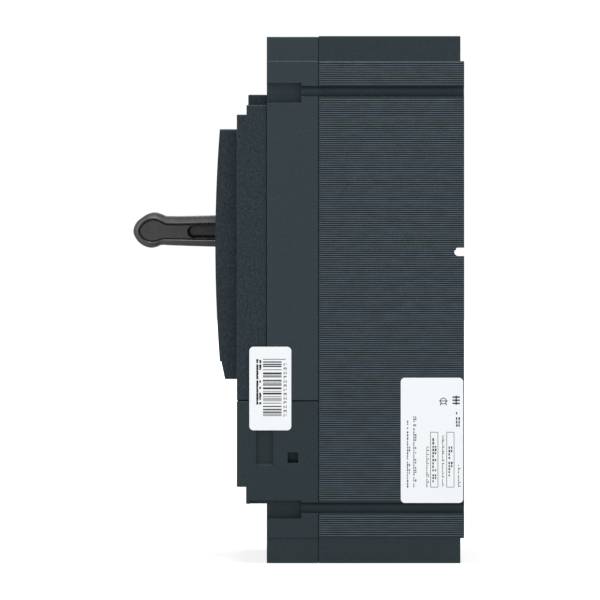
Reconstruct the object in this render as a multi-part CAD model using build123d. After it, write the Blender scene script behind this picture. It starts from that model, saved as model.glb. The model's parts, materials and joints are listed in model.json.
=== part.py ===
from build123d import *
import os
from math import atan2, cos, degrees, hypot, radians, sin, tan

# Three-pole molded case breaker, in millimetres.
# X runs across the poles, Z up towards the line terminals, and the front faces -Y.
# "Depth" is always measured forwards from the rear mounting face, so a depth d lies at y = -d.
# "Height" is measured up from the middle of the rear face, which is the origin.

# ---------------------------------------------------------------- driving sizes: case
case_height = 255.0
base_depth = 70.5
cover_depth = 25.0
bay_width = 36.0  # clear width of one pole's bay
phase_wall = 9.0  # wall between two poles
side_wall = 7.0
back_wall = 8.0
front_wall = 3.0
edge_round = 0.5
rib_height = 0.35  # the base's flanks stand back by this, to carry fine moulded ribs
seam_gap = 0.15

end_block_length = 12.1
end_block_side_step = 0.6
end_block_rear_step = 1.8
cover_end_drop = 0.4  # the cover's top end stands this far below the base's

groove_from_end = 26.8  # middle of the flank groove
groove_radius = 2.6
hook_notch_from_end = 22.8
hook_notch_height = 9.6
hook_notch_from_front = 16.8
hook_notch_depth = 5.0

rear_notch_height = 23.1
rear_notch_width = 4.1
rear_notch_depth = 4.8
rear_channel_width = 10.0
rear_channel_depth = 5.5

# ---------------------------------------------------------------- driving sizes: terminals
pocket_length = 31.0
barrier = 4.0
terminal_floor = 38.0
bar_width = 30.0
bar_thickness = 6.0
terminal_from_end = 14.0
terminal_screw_radius = 5.0  # M10
terminal_head_radius = 8.0
terminal_head_height = 8.0
terminal_screw_length = 26.0
terminal_socket_radius = 4.6
terminal_socket_depth = 5.0
washer_radius = 10.0
washer_thickness = 2.0
nut_width = 16.6
nut_thickness = 8.0

mount_spacing_height = 215.0
mount_hole_radius = 3.0
mount_head_radius = 5.5
mount_head_seat = 50.0
mount_boss_radius = 7.0

# ---------------------------------------------------------------- driving sizes: front
split_height = -49.0  # seam between the main cover and the trip unit
front_depth = 110.0  # front plane of the accessory cover and the trip unit
accessory_side_step = 1.0
accessory_top_from_end = 38.0
accessory_step_depth = 105.3
accessory_step_height = 4.6
accessory_lip_depth = 104.5
accessory_lip_height = 5.3
accessory_lip_side_step = 8.0
accessory_wall = 2.5

surround_side_step = 8.0
surround_top_gap = 6.8
surround_bottom_gap = 10.4
surround_front = 120.5
surround_curve = 729.0
surround_foot_height = 8.6
surround_foot_front = 117.6
surround_foot_lean = 1.8
surround_wall = 3.5
surround_skirt_depth = 104.0
surround_skirt_wall = 3.0
surround_skirt_in = 5.5  # the skirt stands this far inside the surround's outline
surround_round = 1.0

trip_step_from_bottom = 36.9  # the deepest front ends this far above the bottom
trip_step_height = 8.2
trip_step_depth = 105.5
trip_inner_depth = 101.0
trip_notch_rise = 1.7
trip_notch_height = 8.8
trip_notch_from_front = 1.8

# ---------------------------------------------------------------- driving sizes: handle
handle_pivot_depth = 60.0
handle_height = 34.6
handle_swing = 20.0  # each way, up to ON and down to OFF
handle_tip = 162.7
handle_head_radius = 8.7
handle_neck = 7.0  # half thickness under the head
handle_root = 7.8  # half thickness inside the case
handle_width = 20.0
handle_inner_depth = 99.0
shutter_radius = 52.5
shutter_thickness = 1.5
shutter_width = 30.0
yoke_outer = 15.2
sheet_steel = 1.6
yoke_bridge_depth = 96.4
yoke_bridge_half = 8.0
yoke_heel = (5.0, 5.5)  # behind the pivot, and each side of it
yoke_pivot_gap = 0.4
tongue_half_width = 6.0
tongue_half = 2.0
tongue_from_front = 6.0
grip_rim = 2.6  # round the panel in each side of the grip
grip_panel = 0.8
collar_wall = 2.0
slot_margin = 1.0
shutter_margin = 1.5  # degrees past the slot's end
shutter_share = 0.94  # of the angle that the slot spans at its inner face
mechanism_window_share = 0.92  # of the shutter's reach

# ---------------------------------------------------------------- driving sizes: mechanism
shaft_depth = 34.0
shaft_height = 0.0
shaft_radius = 9.0
contact_ratio = 0.85  # turn of the contact shaft for each degree of the handle
arm_reach = 50.0
arm_tip = 6.0
arm_width = 10.0
arm_lean = 6.8  # forwards from upright, with the handle in the middle
crank_pin = (42.64, 9.71)  # (depth, height)
knee_pin = (61.83, 26.17)
cradle_link_pin = (75.82, 25.74)
cradle_pivot = (60.0, 6.0)
link_pin_radius = 2.0
open_pivot_clearance = 1.2  # of the holes round the knee pin and round the cradle's link pin
latch_pivot = (72.0, -24.0)
latch_top = 1.0
latch_tail = 20.0
latch_half = 1.5
spacer_point = (50.0, -22.0)
spacer_radius = 3.0
side_plate_outer = 17.5
side_plate_top = 42.0
side_plate_outline = ((8, -26), (8, 24), (50, 42), (90, 42), (90, 22), (84, -30), (60, -30))
cradle_at_pivot = ((-6, -2), (-4, 6))  # corners of the cradle, as offsets in (depth, height)
cradle_at_pin = ((-4, 6), (6, 5))
cradle_at_nose = ((5, 6), (2.5, 0), (-1, 0), (-2, 4))
cradle_heel = (2, -6)
latch_side_margin = 0.6
latch_hub = 2.0
latch_tail_half_width = 4.0
cradle_lane = (11.6, 13.2)  # each part of the mechanism has its own lane, both sides of the middle
upper_link_lane = (9.8, 11.2)
lower_link_lane = (7.8, 9.4)
crank_lane = (9.8, 11.4)
upper_link_half = 4.8
lower_link_half = 3.5
crank_half = 4.2
small_hole = 0.5
shaft_overhang = 5.0
shaft_hole_clearance = 0.6
socket_lip = 1.5
socket_wall = 2.4
socket_reach = 17.0
arm_pin_along = 13.0
arm_pin_radius = 1.5
latch_window_half = 6.0
latch_window_front = 90.0
main_spring_across = 2.8
main_spring_radius = 1.9
main_spring_wire = 0.45
main_spring_turns = 12
main_spring_start = (4.5, 0.6)  # from the knee pin
main_spring_end_gap = 1.2
main_spring_drop = 5.0  # under the handle's middle, at the bridge
main_spring_hole = 1.0

# ---------------------------------------------------------------- driving sizes: current path
contact_pad_thickness = 2.5
contact_pad_half = 3.2
contact_pad_below_tip = 8.0
contact_gap = 0.3  # left between the closed pads
fixed_contact_half = 6.0
contact_pad_lead = 0.8
contact_pad_tip_gap = 0.1
bar_end_gap = 2.0
bar_past_contact = 2.0
heater_depth = 40.0
heater_thickness = 4.0
heater_width = 18.0
heater_top = -47.0
braid_lane = (18.0, -20.0)  # where the braid turns up behind the contact shaft
braid_straight = 7.0
braid_top = 8.0
braid_past_pin = 8.0
braid_bend = 5.5
splitter_count = 6
splitter_pitch = 5.6
splitter_thickness = 1.5
splitter_first = 27.0
splitter_width = 31.2
cheek_thickness = 1.3
chute_bottom_gap = 4.0  # above the mechanism's side plates
chute_top_gap = 2.0
cheek_overhang = (1.0, 0.5)  # past the plates, below and above
splitter_notch_margin = 2.0

# ---------------------------------------------------------------- driving sizes: trip unit
trip_bar_axis = (84.0, -68.0)
trip_bar_radius = 3.2
trip_bar_length = 114.0
trip_lever = 2.0  # half thickness of the trip bar's levers
latch_lever_reach = 26.0
latch_lever_overlap = 5.0
latch_lever_thickness = 3.0
trip_finger_half = 5.0
trip_finger_height = 13.0
button_lever_half = 3.0
bearing_post = (20.0, 26.0)
bearing_wall = 6.0
button_across = 48.0
button_height = -82.0
button_radius = 3.5
button_head = 2.0
button_stem_radius = 2.0
button_sink = 2.2  # the back of the button's head lies this far under the front
button_travel = 2.0
button_spring_room = 2.6  # left for the spring with the button pushed in
button_free_travel = 0.45
button_spring = (2.85, 0.25, 3)  # radius, wire radius and turns
button_spring_gap = 0.5
bimetal_depth = 66.0
bimetal_thickness = 1.4
bimetal_half_width = 5.0
bimetal_foot = 6.0  # above the chamber's end
bimetal_rise = 11.0  # above the trip bar's axis
calibration_rise = 8.0
calibration_gap = 1.0
calibration_gap_middle = 3.0
calibration_radius = 1.5
magnet_width = 29.0
magnet_back = 34.0
magnet_front = 50.0
magnet_heights = (-78.0, -64.0)
magnet_wall = 3.0
magnet_gap = 1.5
armature_pivot = (29.3, -86.0)
armature_depths = (28.0, 30.6)
armature_top = -59.0
armature_arm_heights = (-63.0, -58.5)
armature_toe = 2.0
armature_toe_start = 2.5
armature_arm = (0.4, 2.2)  # across, outside the magnet
armature_hub_radius = 3.2
window_floor = 104.0
hinge_radius = 0.9
hinge_stub = 2.0
hinge_drop = 1.2  # the window's hinge lies this far under its top edge
hinge_depth = 108.8
window_sink = 0.2
window_half_width = 33.6
window_top = -59.4
window_bottom = -78.6
window_thickness = 2.0
window_round = 0.4
thumb_half_width = 5.0
thumb_rise = 0.1
thumb_heights = (0.5, 2.5)  # above the window's lower edge
dial_across = 15.0
dial_height = -70.0
dial_radius = 6.5
dial_stem_radius = 2.5
dial_rise = 3.2
dial_lift = 0.1
dial_stem_length = 4.0
dial_slot_half = 0.7
dial_slot_margin = 1.5
pointer_half = 0.6
pointer_depth = 1.2
pointer_reach = (3.5, 8.0)
grip_recess = ((92.4, 100.7), (-80.2, -60.5), 1.8)  # depths, heights, how deep it is cut
snap_hole = ((80.3, 85.4), (-79.0, -73.9), 4.5)
ramp_share = 0.6  # of a side recess's depth, up to the longest ramp
ramp_longest = 1.5

# ---------------------------------------------------------------- driving sizes: fasteners
cover_screw_heights = (70.0, -38.0)
trip_screw_from_bottom = 40.5
case_screw_radius = 2.0
case_head_radius = 4.1
case_head_height = 3.2
case_head_sink = 6.5
case_screw_bite = 18.0
screw_boss_radius = 6.0
accessory_screw_across = 61.5
accessory_screw_from_edge = 6.8
small_screw_radius = 1.7
small_head_radius = 3.4
small_head_height = 2.4
small_head_sink = 3.2
accessory_boss_wall = 2.1
recess_depth = 1.6  # of a cross recess or a screwdriver slot
recess_reach = 0.6  # of the head's radius
recess_slot = 0.11

# ---------------------------------------------------------------- driving sizes: labels
label_thickness = 0.15
label_corner = 2.0
rating_label = ((0.5, 30.7), (-98.3, -37.8))
barcode_label = ((83.6, 103.9), (-63.2, -22.8))
nameplate_margin = 8.0
nameplate_half_height = 38.0

# ---------------------------------------------------------------- clearances
slip = 0.3  # pieces that drop into place
running = 0.05  # radial, a shaft in its hole
touch = 0.02  # radial, a pin fixed in a plate
wall_fit = 0.1  # a block closed in between two walls

# ---------------------------------------------------------------- worked out from the above
pole_pitch = bay_width + phase_wall
case_depth = base_depth + cover_depth
half_width = pole_pitch + bay_width / 2 + side_wall
half_height = case_height / 2
flank_height = half_height - end_block_length
chamber_height = half_height - pocket_length - barrier
pocket_height = half_height - pocket_length
terminal_height = half_height - terminal_from_end
bar_front = terminal_floor + bar_thickness
cavity_front = case_depth - front_wall
accessory_top = half_height - accessory_top_from_end
trip_screw_height = -half_height + trip_screw_from_bottom
accessory_screw_heights = (
    accessory_top - accessory_screw_from_edge,
    split_height + accessory_screw_from_edge,
)
accessory_half_width = half_width - accessory_side_step
surround_half_width = half_width - surround_side_step
surround_top = accessory_top - surround_top_gap
surround_bottom = split_height + surround_bottom_gap
trip_step_top = -half_height + trip_step_from_bottom
trip_step_bottom = trip_step_top - trip_step_height
surround_window_half = surround_half_width - surround_skirt_in
surround_window = (surround_bottom + surround_skirt_in, surround_top - surround_skirt_in)
window_hinge = (hinge_depth, window_top - hinge_drop)
button_back = front_depth - button_sink
button_seat = button_back - button_travel - button_spring_room
mount_height = mount_spacing_height / 2
arm_closed = arm_lean - handle_swing * contact_ratio
contact_along = arm_reach + arm_tip - contact_pad_below_tip
contact_aside = arm_width / 2 + contact_pad_thickness
contact_pad_height = (
    shaft_height
    + contact_along * cos(radians(arm_closed))
    + contact_aside * sin(radians(arm_closed))
)
fixed_contact_front = (
    shaft_depth
    + contact_along * sin(radians(arm_closed))
    - contact_aside * cos(radians(arm_closed))
    - contact_gap
)
line_bar_depth = fixed_contact_front - contact_pad_thickness - bar_thickness
phase_across = pole_pitch / 2
bay_half = bay_width / 2
handle_pivot = (handle_pivot_depth, handle_height)
shaft = (shaft_depth, shaft_height)
poles = {"left": -pole_pitch, "middle": 0.0, "right": pole_pitch}


# ---------------------------------------------------------------- shape helpers
def block(width, depth, height):
    """A box between two limits across, in depth and in height."""
    middle = Pos(sum(width) / 2, -sum(depth) / 2, sum(height) / 2)
    return middle * Box(width[1] - width[0], depth[1] - depth[0], height[1] - height[0])


def rounded(width, depth, height, radius=edge_round):
    """A box with every edge rounded."""
    box = block(width, depth, height)
    return fillet(box.edges(), radius)


def about(centre, half):
    """The pair of limits at one distance each side of a centre."""
    return (centre - half, centre + half)


def rod(width, point, radius):
    """A cylinder that runs across the poles, at a (depth, height) point."""
    place = Pos(sum(width) / 2, -point[0], point[1]) * Rot(0, 90, 0)
    return place * Cylinder(radius, width[1] - width[0])


def peg(across, depth, height, radius):
    """A cylinder that runs from front to back."""
    place = Pos(across, -sum(depth) / 2, height) * Rot(90, 0, 0)
    return place * Cylinder(radius, depth[1] - depth[0])


def side_plane(across):
    """A plane seen from the side, whose own X is depth and whose Y is height."""
    return Plane(origin=(across, 0, 0), x_dir=(0, -1, 0), z_dir=(-1, 0, 0))


def plate(width, outline):
    """A flat piece cut to an outline of (depth, height) points, between two limits across."""
    face = make_face(Polyline(*outline, close=True).edges())
    return extrude(side_plane(width[1]) * face, width[1] - width[0])


def link(width, ends, half, hole_radii):
    """A link with round ends at two (depth, height) points and a hole at each."""
    start, end = ends
    run, rise = end[0] - start[0], end[1] - start[1]
    bar = SlotCenterToCenter(hypot(run, rise), 2 * half)
    place = Pos(start[0] + run / 2, start[1] + rise / 2) * Rot(0, 0, degrees(atan2(rise, run)))
    made = extrude(side_plane(width[1]) * place * bar, width[1] - width[0])
    for point, radius in zip(ends, hole_radii):
        made -= rod((width[0] - 1, width[1] + 1), point, radius)
    return made


def both_sides(shape):
    """The shape and its mirror image across the middle pole."""
    return Compound([shape, mirror(shape, Plane.YZ)])


def arm_point(along, aside=0.0):
    """A (depth, height) point on the contact arm: along it from the shaft, and forwards of it."""
    lean = radians(arm_lean)
    return (
        shaft_depth + along * sin(lean) + aside * cos(lean),
        shaft_height + along * cos(lean) - aside * sin(lean),
    )


def coil(radius, wire, length, turns):
    """A helical spring along its own Z, closed to a solid wire."""
    path = Helix(pitch=length / turns, height=length, radius=radius)
    section = Plane(origin=path @ 0, z_dir=path % 0) * Circle(wire)
    return sweep(section, path=path)


# ---------------------------------------------------------------- case
def flank_grooves(depth, height_sign):
    """Cutters for the round groove that runs along each flank near one end."""
    height = height_sign * (half_height - groove_from_end)
    return both_sides(peg(half_width, depth, height, groove_radius))


def mounting_bosses(depth, height_sign):
    return [
        peg(side * phase_across, depth, height_sign * mount_height, mount_boss_radius)
        for side in (-1, 1)
    ]


def mounting_holes(depth, radius, height_sign):
    return [
        peg(side * phase_across, depth, height_sign * mount_height, radius) for side in (-1, 1)
    ]


def end_range(start, end, sign):
    """Two heights ordered low to high, on the top end (+1) or the bottom end (-1)."""
    return tuple(sorted((sign * start, sign * end)))


def terminal_pockets(depth, sign):
    """Cutters for the three pockets that are open at the front and at one end."""
    return [
        block(about(x, bay_half), depth, end_range(pocket_height, half_height + 1, sign))
        for x in poles.values()
    ]


def barrier_tongues(sign):
    """Tongues that close the slots above the bars in the base's barriers."""
    width = bar_width / 2
    height = end_range(chamber_height + slip, pocket_height - slip, sign)
    depth = (bar_front + slip, base_depth + front_wall)
    return [block(about(x, width), depth, height) for x in poles.values()]


def base():
    outer = rounded(
        about(0, half_width - rib_height), (0, base_depth), about(0, flank_height)
    ) + rounded(
        about(0, half_width - end_block_side_step),
        (end_block_rear_step, base_depth),
        about(0, half_height),
    )
    cut = []
    for x in poles.values():
        cut.append(block(about(x, bay_half), (back_wall, base_depth + 1), about(0, chamber_height)))
        for sign in (-1, 1):
            slot = about(x, bar_width / 2 + slip)
            depth = (terminal_floor, base_depth + 1)
            cut.append(block(slot, depth, end_range(chamber_height - 1, pocket_height + 1, sign)))
            nut = nut_width / 2 + slip
            seat = (terminal_floor - nut_thickness - slip, terminal_floor + 1)
            cut.append(block(about(x, nut), seat, about(sign * terminal_height, nut)))
            tail = (terminal_floor - terminal_screw_length, terminal_floor)
            cut.append(peg(x, tail, sign * terminal_height, terminal_screw_radius + slip))
    for sign in (-1, 1):
        cut += terminal_pockets((terminal_floor, base_depth + 1), sign)
        cut.append(flank_grooves((-1, base_depth + 1), sign))
    for side in (-1, 1):
        wall = about(side * phase_across, phase_wall / 2 + 1)
        cut.append(rod(wall, shaft, shaft_radius + running))
        cut.append(
            block(wall, (shaft_depth, base_depth + 1), about(shaft_height, shaft_radius + running))
        )
    shell = outer - cut
    for sign in (-1, 1):
        shell += mounting_bosses((end_block_rear_step, base_depth), sign)
    holes = []
    for sign in (-1, 1):
        holes += mounting_holes((-1, mount_head_seat), mount_hole_radius, sign)
        holes += mounting_holes((mount_head_seat, base_depth + 1), mount_head_radius, sign)
    for side in (-1, 1):
        for height in (*cover_screw_heights, trip_screw_height):
            depth = (base_depth - case_screw_bite - 1, base_depth + 1)
            holes.append(peg(side * phase_across, depth, height, case_screw_radius + touch))
    notch_end = rear_notch_depth - rear_notch_width / 2
    across = about(0, half_width + 1)
    holes.append(block(across, (-1, notch_end), about(rear_notch_height, rear_notch_width / 2)))
    holes.append(rod(across, (notch_end, rear_notch_height), rear_notch_width / 2))
    inner = about(0, half_width - side_wall)
    channel = about(rear_notch_height, rear_channel_width / 2)
    holes.append(block(inner, (-1, rear_channel_depth), channel))
    return shell - holes


def hook_notches(height, front):
    """Cutters for the side notches that a terminal shield hooks into."""
    width = (half_width - hook_notch_depth, half_width + 1)
    return both_sides(block(width, (case_depth - hook_notch_from_front, front), height))


def main_cover():
    top = half_height - cover_end_drop
    bottom = split_height + seam_gap
    outer = rounded(
        about(0, half_width), (base_depth, case_depth), (bottom, flank_height)
    ) + rounded(
        about(0, half_width - end_block_side_step), (base_depth, case_depth), (bottom, top)
    )
    cut = [*terminal_pockets((base_depth - 1, case_depth + 1), 1)]
    for x in poles.values():
        cavity = (base_depth - 1, cavity_front)
        cut.append(block(about(x, bay_half), cavity, (bottom + barrier, chamber_height)))
    cut.append(
        block(about(0, bay_half), (cavity_front - 1, case_depth + 1), mechanism_window())
    )
    gate = (base_depth - 1, latch_window_front)
    cut.append(block(about(0, latch_window_half), gate, (bottom - 1, bottom + barrier + 1)))
    shell = outer - cut
    shell += mounting_bosses((base_depth, case_depth), 1)
    shell += barrier_tongues(1)
    for side in (-1, 1):
        for height in cover_screw_heights:
            shell += peg(side * phase_across, (base_depth, case_depth), height, screw_boss_radius)
    notch_top = half_height - hook_notch_from_end
    holes = [
        *mounting_holes((base_depth - 1, case_depth + 1), mount_head_radius, 1),
        flank_grooves((base_depth - 1, case_depth - hook_notch_from_front + 1), 1),
        hook_notches((notch_top - hook_notch_height, notch_top), case_depth + 1),
    ]
    for side in (-1, 1):
        for height in cover_screw_heights:
            holes.append(case_screw_hole(side * phase_across, height, case_depth))
        for height in accessory_screw_heights:
            hole = (case_depth - front_wall - 1, case_depth + 1)
            holes.append(peg(side * accessory_screw_across, hole, height, small_screw_radius + touch))
    return shell - holes


def mechanism_window():
    """Heights of the opening in the main cover that the handle's shutter swings through."""
    reach = shutter_radius + shutter_thickness
    return about(handle_height, reach * mechanism_window_share)


def case_screw_hole(across, height, front):
    """A cutter for one case screw: clearance for the shank and a sunk seat for the head."""
    shank = peg(across, (base_depth - 1, front), height, case_screw_radius + slip)
    head = peg(across, (front - case_head_sink, front + 1), height, case_head_radius + slip)
    return Compound([shank, head])


def trip_unit_housing():
    top = split_height - seam_gap
    width = about(0, half_width)
    outer = (
        rounded(width, (base_depth, front_depth), (trip_step_top, top))
        + rounded(width, (base_depth, trip_step_depth), (trip_step_bottom, top))
        + rounded(width, (base_depth, case_depth), (-flank_height, top))
        + rounded(
            about(0, half_width - end_block_side_step), (base_depth, case_depth), (-half_height, top)
        )
    )
    inside = about(0, half_width - side_wall)
    cut = [
        *terminal_pockets((base_depth - 1, case_depth + 1), -1),
        block(inside, (base_depth - 1, trip_inner_depth), (-chamber_height, top - barrier)),
        block(
            about(0, latch_window_half),
            (base_depth - 1, latch_window_front),
            (top - barrier - 1, top + 1),
        ),
    ]
    shell = outer - cut
    shell += mounting_bosses((base_depth, case_depth), -1)
    shell += barrier_tongues(-1)
    shell += trip_bar_bearings()
    for side in (-1, 1):
        pillar = (base_depth, trip_inner_depth + 1)
        shell += peg(side * phase_across, pillar, trip_screw_height, screw_boss_radius - 1)
    notch_top = trip_step_bottom + trip_notch_rise
    holes = [
        *mounting_holes((base_depth - 1, front_depth + 1), mount_head_radius, -1),
        flank_grooves((base_depth - 1, case_depth - hook_notch_from_front + 1), -1),
        hook_notches(
            (notch_top - trip_notch_height, notch_top), trip_step_depth - trip_notch_from_front
        ),
        block(
            about(0, window_half_width + slip),
            (window_floor, front_depth + 1),
            (window_bottom - slip, window_top + 2 * slip),
        ),
        rod(about(0, window_half_width + hinge_stub), window_hinge, hinge_radius + running),
        peg(button_across, (button_seat, front_depth + 1), button_height, button_radius + slip),
        peg(
            button_across, (trip_inner_depth - 1, front_depth), button_height,
            button_stem_radius + slip,
        ),
    ]
    for side in (-1, 1):
        stem = (trip_inner_depth - 1, window_floor + 1)
        holes.append(peg(side * dial_across, stem, dial_height, dial_stem_radius + running))
        holes.append(case_screw_hole(side * phase_across, trip_screw_height, front_depth))
        holes.append(side_recess(side, *grip_recess))
        holes.append(side_recess(side, *snap_hole))
    return shell - holes


def side_recess(side, depth, height, cut_in):
    """A cutter for a shallow pocket in one flank, with its lower end ramped out."""
    width = tuple(sorted((side * (half_width - cut_in), side * (half_width + 1))))
    pocket = block(width, depth, height)
    lower = [e for e in pocket.edges().filter_by(Axis.Y) if e.center().Z < sum(height) / 2]
    inner = [e for e in lower if abs(e.center().X) < half_width]
    return chamfer(inner, min(cut_in * ramp_share, ramp_longest))


def accessory_cover():
    bottom = split_height + seam_gap
    lip_top = accessory_top + accessory_step_height + accessory_lip_height
    outer = (
        rounded(about(0, accessory_half_width), (case_depth, front_depth), (bottom, accessory_top))
        + rounded(
            about(0, accessory_half_width),
            (case_depth, accessory_step_depth),
            (bottom, accessory_top + accessory_step_height),
        )
        + rounded(
            about(0, half_width - accessory_lip_side_step),
            (case_depth, accessory_lip_depth),
            (bottom, lip_top),
        )
    )
    inside = about(0, accessory_half_width - accessory_wall)
    hollow = (bottom + accessory_wall, accessory_top - accessory_wall)
    cut = [
        block(inside, (case_depth - 1, front_depth - accessory_wall), hollow),
        block(
            about(0, surround_window_half + slip),
            (front_depth - accessory_wall - 1, front_depth + 1),
            (surround_window[0] - slip, surround_window[1] + slip),
        ),
    ]
    shell = outer - cut
    for side in (-1, 1):
        for height in accessory_screw_heights:
            across = side * accessory_screw_across
            boss = small_head_radius + accessory_boss_wall
            shell += peg(across, (case_depth, front_depth - 1), height, boss)
    holes = []
    for side in (-1, 1):
        for height in accessory_screw_heights:
            across = side * accessory_screw_across
            depth = (case_depth - 1, front_depth)
            holes.append(peg(across, depth, height, small_screw_radius + slip))
            sink = (front_depth - small_head_sink, front_depth + 1)
            holes.append(peg(across, sink, height, small_head_radius + slip))
    return shell - holes


def surround_arc():
    """The middle of the surround's curved front, and how far the curve's ends fall back."""
    middle = (surround_top + surround_bottom + surround_foot_height) / 2
    reach = surround_top - middle
    return middle, surround_curve - (surround_curve**2 - reach**2) ** 0.5


def handle_surround():
    middle, sag = surround_arc()
    edge = surround_front - sag
    foot_top = surround_bottom + surround_foot_height
    front = ThreePointArc((edge, foot_top), (surround_front, middle), (edge, surround_top))
    rest = Polyline(
        (edge, surround_top),
        (front_depth, surround_top),
        (front_depth, surround_bottom),
        (surround_foot_front - surround_foot_lean, surround_bottom),
        (surround_foot_front, foot_top),
        (edge, foot_top),
    )
    face = make_face([*front.edges(), *rest.edges()])
    outer = extrude(side_plane(surround_half_width) * face, 2 * surround_half_width)
    outer = fillet(outer.edges().filter_by(Axis.Y), surround_round)
    outer += block(
        about(0, surround_window_half), (surround_skirt_depth, front_depth + 1), surround_window
    )
    hollow = about(0, surround_window_half - surround_skirt_wall)
    heights = (surround_window[0] + surround_skirt_wall, surround_window[1] - surround_skirt_wall)
    slot = about(0, handle_width / 2 + slot_margin)
    return outer - [
        block(hollow, (surround_skirt_depth - 1, surround_front - surround_wall - sag), heights),
        block(slot, (surround_skirt_depth, surround_front + 1), about(handle_height, slot_half())),
    ]


def slot_half():
    """Half the height of the handle's slot: the handle's swing and half thickness, and a margin."""
    reach = surround_front - handle_pivot_depth
    swing = radians(handle_swing)
    return reach * tan(swing) + handle_root / cos(swing) + slot_margin


# ---------------------------------------------------------------- fasteners
def case_screw(across, height, front):
    """One case screw: a cheese head with a cross recess on a plain shank."""
    under = front - case_head_sink
    head = peg(across, (under, under + case_head_height), height, case_head_radius)
    shank = peg(across, (base_depth - case_screw_bite, under + 0.5), height, case_screw_radius)
    return head + shank - cross_recess(across, under + case_head_height, height, case_head_radius)


def cross_recess(across, front, height, head_radius):
    """Cutters for the cross recess in a round head."""
    depth = (front - recess_depth, front + 1)
    half = head_radius * recess_reach
    wide = head_radius * recess_slot
    return [
        block(about(across, half), depth, about(height, wide)),
        block(about(across, wide), depth, about(height, half)),
    ]


def cover_screws():
    return Compound(
        [case_screw(s * phase_across, z, case_depth) for s in (-1, 1) for z in cover_screw_heights]
    )


def trip_unit_screws():
    return Compound(
        [case_screw(s * phase_across, trip_screw_height, front_depth) for s in (-1, 1)]
    )


def accessory_cover_screws():
    made = []
    for side in (-1, 1):
        for height in accessory_screw_heights:
            across = side * accessory_screw_across
            under = front_depth - small_head_sink
            top = under + small_head_height
            head = peg(across, (under, top), height, small_head_radius)
            shank = (case_depth - front_wall, under + 0.5)
            screw = head + peg(across, shank, height, small_screw_radius)
            made.append(screw - cross_recess(across, top, height, small_head_radius))
    return Compound(made)


def terminal_places():
    """Across and height of each of the six terminals."""
    return [(x, sign * terminal_height) for sign in (1, -1) for x in poles.values()]


def terminal_screws():
    """Socket screws that clamp the conductors to the bars."""
    made = []
    seat = bar_front + washer_thickness
    for x, height in terminal_places():
        head = peg(x, (seat, seat + terminal_head_height), height, terminal_head_radius)
        shank = peg(
            x, (seat - terminal_screw_length + washer_thickness, seat + 1), height,
            terminal_screw_radius,
        )
        socket = extrude(
            Pos(x, -seat - terminal_head_height, height)
            * Rot(90, 0, 0)
            * RegularPolygon(terminal_socket_radius, 6),
            -terminal_socket_depth,
        )
        made.append(head + shank - socket)
    return Compound(made)


def terminal_washers():
    return Compound(
        [
            peg(x, (bar_front, bar_front + washer_thickness), height, washer_radius)
            - peg(x, (bar_front - 1, case_depth), height, terminal_screw_radius + slip)
            for x, height in terminal_places()
        ]
    )


def terminal_nuts():
    """Square nuts held in pockets behind the bars."""
    depth = (terminal_floor - nut_thickness, terminal_floor)
    return Compound(
        [
            block(about(x, nut_width / 2), depth, about(height, nut_width / 2))
            - peg(x, (0, terminal_floor + 1), height, terminal_screw_radius + touch)
            for x, height in terminal_places()
        ]
    )


# ---------------------------------------------------------------- current path
def line_terminal(x):
    """A line bar: flat at the terminal, stepped back to the fixed contact."""
    top = half_height - bar_end_gap
    turn = chamber_height - slip
    back = line_bar_depth
    end = contact_pad_height - fixed_contact_half - bar_past_contact
    outline = [
        (terminal_floor, top),
        (terminal_floor, turn),
        (back, turn),
        (back, end),
        (back + bar_thickness, end),
        (back + bar_thickness, turn - bar_thickness),
        (bar_front, turn - bar_thickness),
        (bar_front, top),
    ]
    bar = plate(about(x, bar_width / 2), outline)
    hole = peg(x, (terminal_floor - 1, bar_front + 1), terminal_height, terminal_screw_radius + slip)
    return bar - hole


def fixed_contacts():
    depth = (fixed_contact_front - contact_pad_thickness, fixed_contact_front)
    height = about(contact_pad_height, fixed_contact_half)
    return Compound(
        [rounded(about(x, arm_width / 2 + 1), depth, height) for x in poles.values()]
    )


def heater_bar(x):
    """A load bar: flat at the terminal, then a narrow heater strip up to the braid."""
    bottom = -half_height + bar_end_gap
    turn = -chamber_height + slip
    terminal = block(about(x, bar_width / 2), (terminal_floor, bar_front), (bottom, turn + 2))
    strip = block(
        about(x, heater_width / 2),
        (heater_depth, heater_depth + heater_thickness),
        (turn, heater_top),
    )
    hole = peg(
        x, (terminal_floor - 1, bar_front + 1), -terminal_height, terminal_screw_radius + slip
    )
    return terminal + strip - hole


def moving_arm(x):
    """One contact arm, from the shaft to its tip."""
    half = arm_width / 2
    outline = [
        arm_point(shaft_radius + slip, -half),
        arm_point(arm_reach, -half),
        arm_point(arm_reach + arm_tip, -1),
        arm_point(arm_reach + arm_tip / 2, half - 2),
        arm_point(shaft_radius + slip, half),
    ]
    arm = plate(about(x, arm_width / 2), outline)
    return arm - rod(about(x, arm_width), arm_point(arm_pin_along), arm_pin_radius + touch)


def arm_pins():
    """The pin that each contact arm swings on in its socket."""
    reach = arm_width / 2 + socket_wall
    return Compound(
        [rod(about(x, reach), arm_point(arm_pin_along), arm_pin_radius) for x in poles.values()]
    )


def moving_contacts():
    """Contact pads on the rear face of each arm's tip, upright when the contacts are closed."""
    lean = -contact_pad_half * tan(radians(arm_closed))
    low, high = contact_along - contact_pad_half, contact_along + contact_pad_half
    outline = [
        arm_point(low - contact_pad_lead, -arm_width / 2),
        arm_point(low, -contact_aside - lean),
        arm_point(min(high, arm_reach - contact_pad_tip_gap), -contact_aside + lean),
        arm_point(arm_reach, -arm_width / 2),
    ]
    return Compound([plate(about(x, arm_width / 2), outline) for x in poles.values()])


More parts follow.
